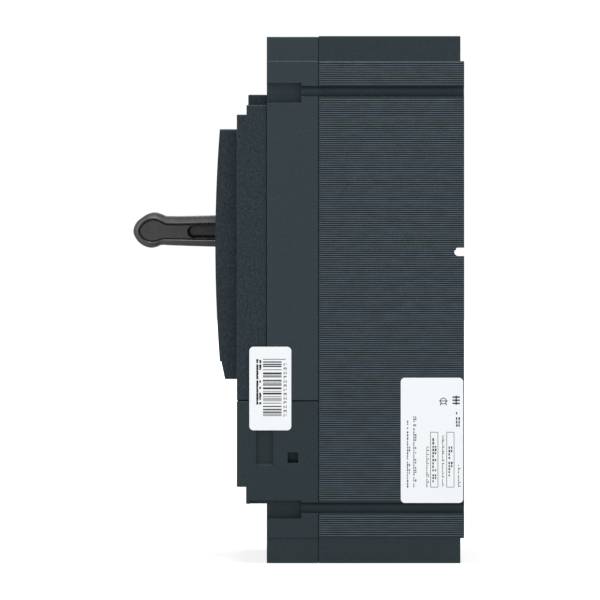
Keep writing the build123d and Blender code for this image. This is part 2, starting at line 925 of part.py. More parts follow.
def contact_shaft():
    """The insulating shaft that turns all three arms, with a socket at each and crank lugs."""
    reach = pole_pitch + arm_width / 2 + shaft_overhang
    bar = rod(about(0, reach), shaft, shaft_radius)
    low = shaft_radius + slip - touch
    front = arm_width / 2 + touch
    for x in poles.values():
        wide = about(x, arm_width / 2 + socket_wall)
        bar += plate(
            wide,
            [
                arm_point(0, -shaft_radius + 1),
                arm_point(socket_reach, -front - socket_wall),
                arm_point(socket_reach, front + socket_lip),
                arm_point(0, shaft_radius - 1),
            ],
        )
        bar -= plate(
            about(x, arm_width / 2 + touch),
            [
                arm_point(low, -2 * shaft_radius),
                arm_point(2 * socket_reach, -2 * shaft_radius),
                arm_point(2 * socket_reach, front),
                arm_point(low, front),
            ],
        )
        bar -= rod(wide, arm_point(arm_pin_along), arm_pin_radius + touch)
    lug = link(crank_lane, (shaft, crank_pin), crank_half, (small_hole, link_pin_radius + touch))
    lug -= rod((crank_lane[0] - 1, crank_lane[1] + 1), shaft, shaft_radius - 1)
    bar -= rod(about(0, crank_lane[1]), crank_pin, link_pin_radius + touch)
    return bar + lug + mirror(lug, Plane.YZ)


def crank_pin_rod():
    return rod(about(0, crank_lane[1]), crank_pin, link_pin_radius)


def flexible_braid(x):
    """A flexible copper braid from the heater strip's top to the contact arm."""
    start = (heater_depth + heater_thickness / 2, heater_top)
    rise = arm_point(arm_pin_along + braid_past_pin, -arm_width)
    path = FilletPolyline(
        start,
        (start[0], braid_lane[1] - braid_straight),
        braid_lane,
        (braid_lane[0] - 1, braid_top),
        rise,
        radius=braid_bend,
    )
    lane = side_plane(x) * path
    section = Plane(origin=lane @ 0, z_dir=lane % 0, x_dir=(1, 0, 0)) * Rectangle(
        arm_width - 1, heater_thickness - 1
    )
    return sweep(section, path=lane)


def flexible_braids():
    return Compound([flexible_braid(x) for x in poles.values()])


# ---------------------------------------------------------------- arc chutes
def chute_heights():
    """Between the mechanism's side plates and the line bars."""
    return side_plate_top + chute_bottom_gap, chamber_height - bar_thickness - chute_top_gap


def arc_chute_plates():
    """Stacks of notched steel splitter plates over the contact tips."""
    low, high = chute_heights()
    notch_top = shaft_height + arm_reach + arm_tip + splitter_notch_margin
    notch_half = arm_width / 2 + splitter_notch_margin
    made = []
    for x in poles.values():
        for i in range(splitter_count):
            depth = splitter_first + i * splitter_pitch
            span = (depth, depth + splitter_thickness)
            sheet = block(about(x, splitter_width / 2), span, (low, high))
            deep = (depth - 1, span[1] + 1)
            made.append(sheet - block(about(x, notch_half), deep, (low - 1, notch_top)))
    return Compound(made)


def arc_chute_cheeks():
    """The fibre cheeks that hold the splitter plates, two to a pole."""
    low, high = chute_heights()
    heights = (low - cheek_overhang[0], high + cheek_overhang[1])
    depth = (splitter_first - 2, splitter_first + splitter_count * splitter_pitch)
    inner = splitter_width / 2
    outer = inner + cheek_thickness
    made = []
    for x in poles.values():
        made.append(block((x + inner, x + outer), depth, heights))
        made.append(block((x - outer, x - inner), depth, heights))
    return Compound(made)


# ---------------------------------------------------------------- mechanism
def side_plate(side):
    """One steel side plate of the operating mechanism."""
    width = tuple(sorted((side * (side_plate_outer - sheet_steel), side * side_plate_outer)))
    made = plate(width, side_plate_outline)
    wide = (width[0] - 1, width[1] + 1)
    made -= rod(wide, shaft, shaft_radius + shaft_hole_clearance)
    for point in (handle_pivot, cradle_pivot, latch_pivot, spacer_point):
        made -= rod(wide, point, spacer_radius + touch)
    return made


def frame_pins():
    """The pins across the side plates: the cradle's, the latch's and a plain spacer."""
    span = about(0, side_plate_outer)
    return Compound([rod(span, p, spacer_radius) for p in (cradle_pivot, latch_pivot, spacer_point)])


def handle_pivot_pins():
    inner = yoke_outer - sheet_steel - yoke_pivot_gap
    return both_sides(rod((inner, side_plate_outer), handle_pivot, spacer_radius))


def cradle():
    """Twin cradle plates: they turn on a frame pin, carry the link pin and rest on the latch."""
    nose = (latch_pivot[0], latch_top + slip)
    corners = (
        (cradle_pivot, cradle_at_pivot),
        (cradle_link_pin, cradle_at_pin),
        (nose, cradle_at_nose),
        (cradle_pivot, (cradle_heel,)),
    )
    outline = [(p[0] + d, p[1] + z) for p, offsets in corners for d, z in offsets]
    half = plate(cradle_lane, outline)
    wide = (cradle_lane[0] - 1, cradle_lane[1] + 1)
    half -= rod(wide, cradle_pivot, spacer_radius + running)
    half -= rod(wide, cradle_link_pin, link_pin_radius + open_pivot_clearance)
    return both_sides(half)


def cradle_link_rivets():
    """Two short rivets, so that the springs pass between them."""
    return both_sides(rod((upper_link_lane[0], cradle_lane[1]), cradle_link_pin, link_pin_radius))


def upper_links():
    holes = (link_pin_radius + touch, link_pin_radius + open_pivot_clearance)
    return both_sides(link(upper_link_lane, (cradle_link_pin, knee_pin), upper_link_half, holes))


def lower_links():
    holes = (link_pin_radius + running, link_pin_radius + touch)
    return both_sides(link(lower_link_lane, (crank_pin, knee_pin), lower_link_half, holes))


def knee_pin_rod():
    return rod(about(0, upper_link_lane[1]), knee_pin, link_pin_radius)


def handle_yoke():
    """A bent steel yoke: two legs on the pivot pins, and a bridge with the handle's tongue."""
    bridge = (yoke_bridge_depth, yoke_bridge_depth + sheet_steel)
    outline = [
        (handle_pivot_depth - yoke_heel[0], handle_height - yoke_heel[1]),
        (handle_pivot_depth - yoke_heel[0], handle_height + yoke_heel[1]),
        (bridge[1], handle_height + yoke_bridge_half),
        (bridge[1], handle_height - yoke_bridge_half),
    ]
    leg = plate((yoke_outer - sheet_steel, yoke_outer), outline)
    leg -= rod((0, yoke_outer + 1), handle_pivot, spacer_radius + running)
    span = about(0, yoke_outer)
    across = block(span, bridge, about(handle_height, yoke_bridge_half))
    reach = (bridge[0], surround_front - tongue_from_front)
    tongue = block(about(0, tongue_half_width), reach, about(handle_height, tongue_half))
    yoke = leg + mirror(leg, Plane.YZ) + across + tongue
    through = (bridge[0] - 1, bridge[1] + 1)
    hook = handle_height - main_spring_drop
    return yoke - [
        peg(side * main_spring_across, through, hook, main_spring_hole) for side in (-1, 1)
    ]


def handle_profile(reduce=0.0):
    """The handle's side outline: a tapering lever with a round head."""
    root, neck = handle_root - reduce, handle_neck - reduce
    head = handle_tip - handle_head_radius
    z = handle_height
    lever = Polyline(
        (handle_inner_depth, z - root),
        (surround_front, z - root),
        (head, z - neck),
        (head, z + neck),
        (surround_front, z + root),
        (handle_inner_depth, z + root),
        close=True,
    )
    knob = Pos(head, z) * Circle(handle_head_radius - reduce)
    return make_face(lever.edges()) + knob


def handle():
    """The moulded grip, with a shallow panel in each side and a slot for the yoke's tongue."""
    half = handle_width / 2
    grip = extrude(side_plane(half) * handle_profile(), handle_width)
    panel = extrude(side_plane(half + 1) * handle_profile(grip_rim), grip_panel + 1)
    grip -= [panel, mirror(panel, Plane.YZ)]
    tongue = (handle_inner_depth - 1, surround_front - tongue_from_front + slip)
    room = about(handle_height, tongue_half + slip)
    return grip - block(about(0, tongue_half_width + slip), tongue, room)


def handle_shutter():
    """A curved skirt that moves with the handle and keeps the slot covered."""
    half_turn = radians(degrees_of_slot() + handle_swing + shutter_margin)
    width = about(0, shutter_width / 2)
    ring = rod(width, handle_pivot, shutter_radius + shutter_thickness) - rod(
        (width[0] - 1, width[1] + 1), handle_pivot, shutter_radius
    )
    reach = 2 * shutter_radius
    z = handle_height
    wedge = plate(
        width,
        [
            handle_pivot,
            (handle_pivot_depth + reach * cos(half_turn), z + reach * sin(half_turn)),
            (handle_pivot_depth + reach, z + reach),
            (handle_pivot_depth + reach, z - reach),
            (handle_pivot_depth + reach * cos(half_turn), z - reach * sin(half_turn)),
        ],
    )
    collar_depth = (handle_inner_depth + 1, handle_pivot_depth + shutter_radius + 0.5)
    wall = collar_wall
    collar = block(about(0, handle_width / 2 + wall), collar_depth, about(z, handle_root + wall))
    through = (handle_inner_depth - 1, surround_front)
    opening = block(about(0, handle_width / 2 + touch), through, about(z, handle_root + touch))
    return (ring & wedge) + collar - opening


def degrees_of_slot():
    inner = surround_front - surround_wall - handle_pivot_depth
    return degrees(slot_half() / inner) * shutter_share


def main_springs():
    """Two tension springs from the knee pin to the yoke's bridge."""
    start = (knee_pin[0] + main_spring_start[0], knee_pin[1] + main_spring_start[1])
    end = (yoke_bridge_depth - main_spring_end_gap, handle_height - main_spring_drop)
    length = hypot(end[0] - start[0], end[1] - start[1])
    made = []
    for side in (-1, 1):
        centre = Vector(side * main_spring_across, -start[0], start[1])
        along = Vector(0, -(end[0] - start[0]), end[1] - start[1]).normalized()
        place = Plane(origin=centre, x_dir=(1, 0, 0), z_dir=along)
        made.append(place * coil(main_spring_radius, main_spring_wire, length, main_spring_turns))
    return Compound(made)


# ---------------------------------------------------------------- trip unit
def latch():
    """The latch lever: its nose stands in front of the cradle, its tail over the trip bar."""
    depth = about(latch_pivot[0], latch_half)
    wide = cradle_lane[1] + latch_side_margin
    made = block(about(0, wide), depth, (latch_pivot[1], latch_top))
    tail = (latch_pivot[1] - latch_tail, latch_pivot[1])
    made += block(about(0, latch_tail_half_width), depth, tail)
    made += rod(about(0, wide), latch_pivot, spacer_radius + latch_hub)
    return made - rod(about(0, wide + 1), latch_pivot, spacer_radius + running)


def trip_bar():
    """The trip bar: a finger for each outer pole, one lever for the latch, one for the button."""
    axis_depth, axis_height = trip_bar_axis
    back, front = axis_depth - trip_lever, axis_depth + trip_lever
    bar = rod(about(0, trip_bar_length / 2), trip_bar_axis, trip_bar_radius)
    for x in (poles["left"], poles["right"]):
        height = (axis_height, axis_height + trip_finger_height)
        bar += block(about(x, trip_finger_half), (back, axis_depth + 1), height)
    height = (button_height - button_lever_half, axis_height)
    bar += block(about(button_across, button_lever_half), (back, front), height)
    face = latch_pivot[0] - latch_half - slip
    tip = axis_height + latch_lever_reach
    elbow = tip - latch_lever_overlap
    outline = [
        (back, axis_height),
        (face - latch_lever_thickness, elbow),
        (face - latch_lever_thickness, tip),
        (face, tip),
        (face, elbow),
        (front, axis_height),
    ]
    return bar + plate(about(0, latch_tail_half_width), outline)


def trip_bar_bearings():
    """Two posts on the housing's front wall that the trip bar turns in."""
    depth = (trip_bar_axis[0] - bearing_wall, trip_inner_depth + 1)
    post = block(bearing_post, depth, about(trip_bar_axis[1], bearing_wall))
    wide = (bearing_post[0] - 1, bearing_post[1] + 1)
    post -= rod(wide, trip_bar_axis, trip_bar_radius + running)
    return both_sides(post)


def trip_button():
    head = (button_back, button_back + button_head)
    cap = peg(button_across, head, button_height, button_radius)
    cap = fillet(cap.edges().sort_by(Axis.Y)[0], edge_round)
    stem = (trip_bar_axis[0] + trip_lever + button_free_travel, button_back + 1)
    return cap + peg(button_across, stem, button_height, button_stem_radius)


def trip_button_spring():
    radius, wire, turns = button_spring
    length = button_back - button_seat - 2 * button_spring_gap
    start = (button_across, -button_seat - button_spring_gap, button_height)
    place = Plane(origin=start, x_dir=(1, 0, 0), z_dir=(0, -1, 0))
    return place * coil(radius, wire, length, turns)


def bimetals():
    """One bimetal strip for each pole, from the heater's foot up to its calibration screw."""
    foot = -chamber_height + bimetal_foot
    strip = heater_depth + heater_thickness
    front = bimetal_depth + bimetal_thickness
    top = trip_bar_axis[1] + bimetal_rise
    made = []
    for x in poles.values():
        outline = [
            (strip, foot),
            (strip, foot + bimetal_thickness),
            (bimetal_depth, foot + bimetal_thickness),
            (bimetal_depth, top),
            (front, top),
            (front, foot),
        ]
        made.append(plate(about(x, bimetal_half_width), outline))
    return Compound(made)


def calibration_screws():
    """Small screws on each bimetal's tip, which push the trip bar when the strip bends."""
    height = trip_bar_axis[1] + calibration_rise
    back = bimetal_depth + bimetal_thickness
    return Compound(
        [peg(x, (back, calibration_front(x)), height, calibration_radius) for x in poles.values()]
    )


def calibration_front(x):
    """How far forwards a calibration screw reaches, to just behind the trip bar's lever."""
    lever = trip_bar_axis[0] - trip_lever
    if x:
        return lever - calibration_gap
    lean = (trip_bar_axis[0] - latch_pivot[0]) / (latch_lever_reach - latch_lever_overlap)
    return lever - calibration_rise * lean - calibration_gap_middle


def magnet_yokes():
    """A U of soft iron round the front and sides of each heater strip."""
    made = []
    for x in poles.values():
        outer = block(about(x, magnet_width / 2), (magnet_back, magnet_front), magnet_heights)
        inner = (magnet_back - 1, heater_depth + heater_thickness + magnet_gap)
        made.append(outer - block(about(x, magnet_width / 2 - magnet_wall), inner, magnet_heights))
    return Compound(made)


def armature(x):
    """A hinged armature behind the heater, with a long arm forwards to the trip bar's finger."""
    edge = x + magnet_width / 2
    arm = (edge + armature_arm[0], edge + armature_arm[1])
    tip = trip_bar_axis[0] - trip_lever - armature_toe
    made = block(about(x, magnet_width / 2), armature_depths, (armature_pivot[1], armature_top))
    made += block((edge - 1, arm[1]), armature_depths, armature_arm_heights)
    made += block(arm, (armature_depths[0], tip), armature_arm_heights)
    made += rod(about(x, magnet_width / 2), armature_pivot, armature_hub_radius)
    if x:
        toe = (x + armature_toe_start, arm[1])
        made += block(toe, (tip - armature_toe, tip), armature_arm_heights)
    return made - rod(about(x, magnet_width), armature_pivot, calibration_radius + running)


def armature_pins():
    """One hinge pin for each armature, held between the walls of its bay."""
    return Compound(
        [rod(about(x, bay_half), armature_pivot, calibration_radius) for x in poles.values()]
    )


def window_flap():
    """The clear flap over the dials, hinged on two stubs along its top edge."""
    flap = rounded(
        about(0, window_half_width - slip),
        (front_depth - window_sink - window_thickness, front_depth - window_sink),
        (window_bottom, window_top),
        window_round,
    )
    flap += rod(about(0, window_half_width + hinge_stub - slip), window_hinge, hinge_radius)
    thumb = (window_bottom + thumb_heights[0], window_bottom + thumb_heights[1])
    depth = (front_depth - 2 * window_sink, front_depth + thumb_rise)
    return flap + block(about(0, thumb_half_width), depth, thumb)


def dial(side):
    """A setting dial with a screwdriver slot and a pointer notch."""
    across = side * dial_across
    front = window_floor + dial_rise
    head = peg(across, (window_floor + dial_lift, front), dial_height, dial_radius)
    inner = (trip_inner_depth - dial_stem_length, window_floor + 1)
    stem = peg(across, inner, dial_height, dial_stem_radius)
    cut = (front - recess_depth, front + 1)
    slot = block(
        about(across, dial_radius - dial_slot_margin), cut, about(dial_height, dial_slot_half)
    )
    notch = block(
        about(across, pointer_half),
        (front - pointer_depth, front + 1),
        (dial_height + pointer_reach[0], dial_height + pointer_reach[1]),
    )
    return head + stem - slot - notch


# ---------------------------------------------------------------- shaft bearings and labels
def shaft_bearings():
    """Two blocks that close the shaft's slots in the walls between the poles."""
    made = []
    for side in (-1, 1):
        width = about(side * phase_across, phase_wall / 2 - wall_fit)
        depth = (shaft_depth, base_depth - 2 * wall_fit)
        fill = block(width, depth, about(shaft_height, shaft_radius - wall_fit))
        made.append(fill - rod((width[0] - 1, width[1] + 1), shaft, shaft_radius + running))
    return Compound(made)


def sticker(flank, depth, height):
    """A thin label with round corners, on the right flank at the given distance from the middle."""
    sheet = block((flank, half_width + label_thickness), depth, height)
    return fillet(sheet.edges().filter_by(Axis.X), label_corner)


def nameplate():
    """A thin label on the handle surround's curved front, left of the slot."""
    middle, _ = surround_arc()
    centre = (surround_front - surround_curve, middle)
    width = (-surround_half_width + nameplate_margin, -handle_width / 2 - nameplate_margin)
    skin = rod(width, centre, surround_curve + label_thickness) - rod(
        (width[0] - 1, width[1] + 1), centre, surround_curve
    )
    height = about(middle, nameplate_half_height)
    return skin & block(width, (front_depth, surround_front + 2), height)


def nodes():
    """Every separate piece, by name."""
    made = {
        "base": base(),
        "main_cover": main_cover(),
        "trip_unit_housing": trip_unit_housing(),
        "accessory_cover": accessory_cover(),
        "handle_surround": handle_surround(),
        "cover_screws": cover_screws(),
        "trip_unit_screws": trip_unit_screws(),
        "accessory_cover_screws": accessory_cover_screws(),
        "terminal_screws": terminal_screws(),
        "terminal_washers": terminal_washers(),
        "terminal_nuts": terminal_nuts(),
        "fixed_contacts": fixed_contacts(),
        "moving_contacts": moving_contacts(),
        "contact_shaft": contact_shaft(),
        "arm_pins": arm_pins(),
        "crank_pin": crank_pin_rod(),
        "shaft_bearings": shaft_bearings(),
        "flexible_braids": flexible_braids(),
        "arc_chute_plates": arc_chute_plates(),
        "arc_chute_cheeks": arc_chute_cheeks(),
        "mechanism_plate_left": side_plate(-1),
        "mechanism_plate_right": side_plate(1),
        "frame_pins": frame_pins(),
        "handle_pivot_pins": handle_pivot_pins(),
        "cradle": cradle(),
        "cradle_link_rivets": cradle_link_rivets(),
        "upper_links": upper_links(),
        "lower_links": lower_links(),
        "knee_pin": knee_pin_rod(),
        "main_springs": main_springs(),
        "handle_yoke": handle_yoke(),
        "handle": handle(),
        "handle_shutter": handle_shutter(),
        "latch": latch(),
        "trip_bar": trip_bar(),
        "trip_button": trip_button(),
        "trip_button_spring": trip_button_spring(),
        "bimetals": bimetals(),
        "calibration_screws": calibration_screws(),
        "magnet_yokes": magnet_yokes(),
        "armature_pins": armature_pins(),
        "window_flap": window_flap(),
        "overload_dial": dial(-1),
        "short_circuit_dial": dial(1),
        "rating_label": sticker(half_width - rib_height, *rating_label),
        "barcode_label": sticker(half_width, *barcode_label),
        "nameplate": nameplate(),
    }
    for name, x in poles.items():
        made[f"line_terminal_{name}"] = line_terminal(x)
        made[f"heater_bar_{name}"] = heater_bar(x)
        made[f"contact_arm_{name}"] = moving_arm(x)
        made[f"armature_{name}"] = armature(x)
    return made


if __name__ == "__main__":
    os.makedirs("parts", exist_ok=True)
    for name, shape in nodes().items():
        export_step(shape, f"parts/{name}.step")
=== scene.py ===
import json
import math
import random

import bmesh
import bpy
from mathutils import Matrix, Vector


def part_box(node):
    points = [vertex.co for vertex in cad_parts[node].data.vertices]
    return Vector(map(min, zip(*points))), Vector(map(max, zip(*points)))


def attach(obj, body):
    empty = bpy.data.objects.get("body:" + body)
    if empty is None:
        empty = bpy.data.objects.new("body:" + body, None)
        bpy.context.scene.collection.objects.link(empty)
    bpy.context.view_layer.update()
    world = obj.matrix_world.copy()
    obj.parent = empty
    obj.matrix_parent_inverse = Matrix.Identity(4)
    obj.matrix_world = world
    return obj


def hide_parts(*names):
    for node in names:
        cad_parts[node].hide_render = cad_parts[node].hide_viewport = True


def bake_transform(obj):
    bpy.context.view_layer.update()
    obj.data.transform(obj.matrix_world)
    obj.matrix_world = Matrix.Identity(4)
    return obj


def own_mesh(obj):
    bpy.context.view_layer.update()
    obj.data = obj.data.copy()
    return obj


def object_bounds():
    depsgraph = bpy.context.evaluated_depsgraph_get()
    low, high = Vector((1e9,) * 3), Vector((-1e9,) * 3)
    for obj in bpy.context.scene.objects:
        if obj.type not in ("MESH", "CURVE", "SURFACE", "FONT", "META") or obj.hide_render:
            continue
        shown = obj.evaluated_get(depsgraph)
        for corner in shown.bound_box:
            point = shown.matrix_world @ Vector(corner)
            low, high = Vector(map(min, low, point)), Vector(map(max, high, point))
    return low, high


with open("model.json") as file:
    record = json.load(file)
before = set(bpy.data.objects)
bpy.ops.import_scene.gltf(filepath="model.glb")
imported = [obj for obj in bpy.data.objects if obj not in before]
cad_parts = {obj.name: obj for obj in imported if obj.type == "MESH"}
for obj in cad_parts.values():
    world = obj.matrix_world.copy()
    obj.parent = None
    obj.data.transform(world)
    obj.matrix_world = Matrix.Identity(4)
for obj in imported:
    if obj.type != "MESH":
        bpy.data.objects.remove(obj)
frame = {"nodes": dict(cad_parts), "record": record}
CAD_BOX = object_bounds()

bl_info = {
    "name": "Molded Case Breaker",
    "version": (1, 0, 0),
    "blender": (4, 5, 0),
    "location": "View3D > Sidebar > Breaker",
    "description": "Finishes and fine pieces for a three-pole molded case circuit breaker",
    "category": "Add Mesh",
}

MM = 0.001
SIDES = {"right": 1, "left": -1}
SLOTS = {row["node"]: row["material_slot"] for row in frame["record"]["subparts"]}

# The directions of a flat place for marks: across it, up it and out of it.
RIGHT_FLANK = ((0, 1, 0), (0, 0, 1), (1, 0, 0))
FRONT = ((1, 0, 0), (0, 0, 1), (0, -1, 0))


# ------------------------------------------------------------------ places, from the frame
def depth_range(node):
    """How far a CAD node reaches forwards of the rear face, as (rear, front)."""
    low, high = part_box(node)
    return -high.y, -low.y


def height_range(node):
    """How far a CAD node reaches down and up, as (bottom, top)."""
    low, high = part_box(node)
    return low.z, high.z


def centre_of(node):
    low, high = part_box(node)
    return (low + high) / 2


def on_flank(x, depth, height):
    """A point on a flank: across, forwards of the rear face, and up."""
    return Vector((x, -depth, height))


# ------------------------------------------------------------------ shader expressions
class Value:
    """A socket that takes part in arithmetic: each operator adds one Math node."""

    def __init__(self, finish, socket):
        self.finish = finish
        self.socket = socket

    def _math(self, operation, first, second):
        return self.finish.node(
            "ShaderNodeMath", {"operation": operation}, {0: first, 1: second}
        )["Value"]

    def __add__(self, other):
        return self._math("ADD", self, other)

    __radd__ = __add__

    def __sub__(self, other):
        return self._math("SUBTRACT", self, other)

    def __rsub__(self, other):
        return self._math("SUBTRACT", other, self)

    def __mul__(self, other):
        return self._math("MULTIPLY", self, other)

    __rmul__ = __mul__

    def ramp(self, start, end):
        """0 below start, 1 above end, and smooth between them."""
        node = self.finish.node(
            "ShaderNodeMapRange",
            {"interpolation_type": "SMOOTHSTEP"},
            {"Value": self, "From Min": start, "From Max": end},
        )
        return node["Result"]


class Finish:
    """A material under construction."""

    def __init__(self, name):
        plain = bpy.data.materials.get(name)
        if plain:
            plain.name = f"plain_{name}"
        self.material = bpy.data.materials.new(name)
        self.material.use_nodes = True
        self.tree = self.material.node_tree
        self.tree.nodes.clear()
        self.output = self.tree.nodes.new("ShaderNodeOutputMaterial")

    def node(self, kind, settings=None, inputs=None):
        """Adds a node: its settings first, then its sockets' values or links."""
        made = self.tree.nodes.new(kind)
        for key, value in (settings or {}).items():
            setattr(made, key, value)
        for key, value in (inputs or {}).items():
            self.feed(made.inputs[key], value)
        return Outputs(self, made)

    def feed(self, socket, value):
        """Sets a socket to a number or a colour, or links it."""
        if isinstance(value, Value):
            self.tree.links.new(value.socket, socket)
        elif hasattr(socket.default_value, "__len__") and len(socket.default_value) == 4:
            socket.default_value = (*value[:3], 1.0)
        else:
            socket.default_value = value

    def coordinates(self, stretch=(1.0, 1.0, 1.0)):
        """The piece's own coordinates, which are the frame's, in millimetres."""
        place = self.node("ShaderNodeTexCoord")["Object"]
        scale = tuple(s / MM for s in stretch)
        return self.node("ShaderNodeMapping", None, {"Vector": place, "Scale": scale})["Vector"]

    def noise(self, size, detail=2.0, stretch=(1.0, 1.0, 1.0), roughness=0.5):
        """Noise from 0 to 1, with patches about so many millimetres across."""
        node = self.node(
            "ShaderNodeTexNoise",
            None,
            {
                "Vector": self.coordinates(stretch),
                "Scale": 1.0 / size,
                "Detail": detail,
                "Roughness": roughness,
            },
        )
        return node["Fac"]

    def cells(self, size):
        """Distance to the nearest of scattered points, about so many millimetres apart."""
        place = {"Vector": self.coordinates(), "Scale": 1.0 / size}
        return self.node("ShaderNodeTexVoronoi", {"feature": "F1"}, place)["Distance"]

    def mix(self, amount, first, second):
        """The first colour, with so much of the second over it."""
        colour_a, colour_b, colour_result = 6, 7, 2
        inputs = {"Factor": amount, colour_a: first, colour_b: second}
        return self.node("ShaderNodeMix", {"data_type": "RGBA"}, inputs)[colour_result]

    def rounded_normal(self, radius):
        """A normal that rounds sharp edges off by so many millimetres."""
        return self.node("ShaderNodeBevel", {"samples": 6}, {"Radius": radius * MM})["Normal"]

    def edge_mask(self, rounded):
        """1 along sharp edges and 0 on flat faces."""
        true = self.node("ShaderNodeNewGeometry")["Normal"]
        dot = self.node(
            "ShaderNodeVectorMath", {"operation": "DOT_PRODUCT"}, {0: rounded, 1: true}
        )["Value"]
        return (1 - dot).ramp(0.02, 0.22)

    def bump(self, height, strength, distance, normal=None):
        """A normal tilted by a height, whose full rise is so many millimetres."""
        inputs = {"Height": height, "Strength": strength, "Distance": distance * MM}
        if normal is not None:
            inputs["Normal"] = normal
        return self.node("ShaderNodeBump", None, inputs)["Normal"]

    def surface(self, **inputs):
        """Ends the material with a Principled shader. Its sockets' words join by underscores."""
        named = {key.replace("_", " "): value for key, value in inputs.items()}
        made = self.node("ShaderNodeBsdfPrincipled", None, named)
        self.tree.links.new(made["BSDF"].socket, self.output.inputs["Surface"])
        return self.material


class Outputs:
    """A node's output sockets, by name or by number."""

    def __init__(self, finish, node):
        self.finish = finish
        self.made = node

    def __getitem__(self, name):
        return Value(self.finish, self.made.outputs[name])


# ------------------------------------------------------------------ finishes
def scaled(colour, amount):
    """A colour made darker or lighter."""
    return tuple(channel * amount for channel in colour[:3])


def moulding(name, colour, grain=0.22, relief=0.012, rough=0.55, mottle=0.004, patches=1.3):
    """Moulded plastic: spark-eroded grain, mottled colour, painted shade on undersides, edges
    lightened partly as wear and partly as a painted highlight, dust.
    """
    finish = Finish(name)
    fine = finish.noise(grain, detail=3.0, roughness=0.6)
    broad = finish.noise(14.0, detail=3.0)
    pits = finish.cells(grain * 2.4)
    rounded = finish.rounded_normal(0.35)
    edges = finish.edge_mask(rounded) * finish.noise(2.2, detail=4.0).ramp(0.25, 0.7)
    patch = finish.noise(patches, detail=3.0, roughness=0.6).ramp(0.25, 0.75)
    dark = tuple(max(channel - mottle, channel * 0.3) for channel in colour[:3])
    pale = tuple(channel + mottle for channel in colour[:3])
    shade = finish.mix(patch, dark, pale)
    shade = finish.mix(broad * 0.16, shade, scaled(colour, 1.6))
    # Painted shade: faces that point downwards are mixed towards a much darker copy of the colour.
    normal = finish.node("ShaderNodeNewGeometry")["Normal"]
    upward = finish.node("ShaderNodeSeparateXYZ", None, {"Vector": normal})["Z"]
    shade = finish.mix((upward * -1).ramp(0.1, 0.8) * 0.75, shade, scaled(colour, 0.15))
    shade = finish.mix(fine.ramp(0.35, 0.75) * 0.6, shade, scaled(colour, 1.5))
    shade = finish.mix((1 - pits.ramp(0.05, 0.4)) * 0.4, shade, scaled(colour, 0.5))
    dust = finish.noise(0.9, detail=4.0).ramp(0.66, 0.78) * 0.05
    shade = finish.mix(dust, shade, (0.30, 0.30, 0.29))
    # Edges lightened in patches: partly wear and partly a painted highlight along the edges.
    shade = finish.mix(edges * 0.5, shade, scaled(colour, 2.4))
    grainy = finish.bump(fine + pits * 0.5, 0.6, relief, rounded)
    return finish.surface(
        Base_Color=shade,
        Roughness=rough + (fine - 0.5) * 0.22 - edges * 0.12,
        Normal=grainy,
        Specular_IOR_Level=0.22,
    )


def ribbed_moulding(name, colour, highlight_colour):
    """The flank ribs' moulding: a slightly darker case colour on the rib sides as painted shade,
    and a pale painted highlight along their crests, which are also a little glossier.
    """
    finish = Finish(name)
    normal = finish.node("ShaderNodeNewGeometry")["Normal"]
    facing = finish.node("ShaderNodeSeparateXYZ", None, {"Vector": normal})["X"]
    # Crest mask from the facing direction: where a rib faces straight out it gets the painted
    # highlight, and the rib sides get painted shade.
    crest = (facing * facing).ramp(0.55, 0.97)
    fine = finish.noise(0.25, detail=3.0)
    patch = finish.noise(2.4, detail=4.0, stretch=(1.0, 0.3, 1.0)).ramp(0.25, 0.75)
    shade = finish.mix(patch, scaled(highlight_colour, 0.8), scaled(highlight_colour, 1.15))
    shade = finish.mix(crest, scaled(colour, 0.95), shade)
    return finish.surface(
        Base_Color=shade,
        Roughness=0.6 - crest * 0.12 + (fine - 0.5) * 0.15,
        Normal=finish.bump(fine, 0.5, 0.01),
        Specular_IOR_Level=0.25,
    )


def gripped_moulding(name, colour):
    """The grip's moulding: mottled, scuffed along its length, and lighter at its edges, partly as
    wear and partly as a painted highlight on the rims.
    """
    finish = Finish(name)
    fine = finish.noise(0.35, detail=5.0, roughness=0.65)
    blotch = finish.noise(3.2, detail=5.0, roughness=0.6)
    streak = finish.noise(1.2, detail=4.0, stretch=(1.0, 0.16, 1.0))
    rounded = finish.rounded_normal(0.35)
    edges = finish.edge_mask(rounded)
    shade = finish.mix(blotch.ramp(0.3, 0.7), scaled(colour, 0.72), scaled(colour, 1.3))
    shade = finish.mix(streak.ramp(0.5, 0.72) * 0.4, shade, scaled(colour, 1.5))
    shade = finish.mix(fine.ramp(0.5, 0.75) * 0.3, shade, scaled(colour, 1.6))
    # Lighter edges where the streaks allow: partly wear and partly a painted highlight on the rims.
    shade = finish.mix(edges * streak.ramp(0.3, 0.6) * 0.5, shade, scaled(colour, 2.2))
    return finish.surface(
        Base_Color=shade,
        Roughness=0.34 + blotch * 0.2 + (fine - 0.5) * 0.2,
        Normal=finish.bump(fine + blotch * 1.2 + streak * 0.6, 0.6, 0.05, rounded),
        Specular_IOR_Level=0.5,
    )


def plated(name, colour, rough=0.32, along=(1.0, 1.0, 1.0), tarnish=(0.30, 0.26, 0.20)):
    """Metal with a fine grain, faint stains and bright edges."""
    finish = Finish(name)
    lines = finish.noise(0.18, detail=3.0, stretch=along)
    stain = finish.noise(4.5, detail=5.0, roughness=0.6)
    rounded = finish.rounded_normal(0.25)
    edges = finish.edge_mask(rounded)
    shade = finish.mix(lines, scaled(colour, 0.88), scaled(colour, 1.08))
    shade = finish.mix(stain.ramp(0.5, 0.8) * 0.35, shade, tarnish)
    shade = finish.mix(edges * 0.5, shade, scaled(colour, 1.25))
    return finish.surface(
        Base_Color=shade,
        Metallic=0.96 - stain.ramp(0.55, 0.85) * 0.12,
        Roughness=rough + (lines - 0.5) * 0.18 + stain.ramp(0.5, 0.9) * 0.2,
        Normal=finish.bump(lines, 0.4, 0.01, rounded),
    )


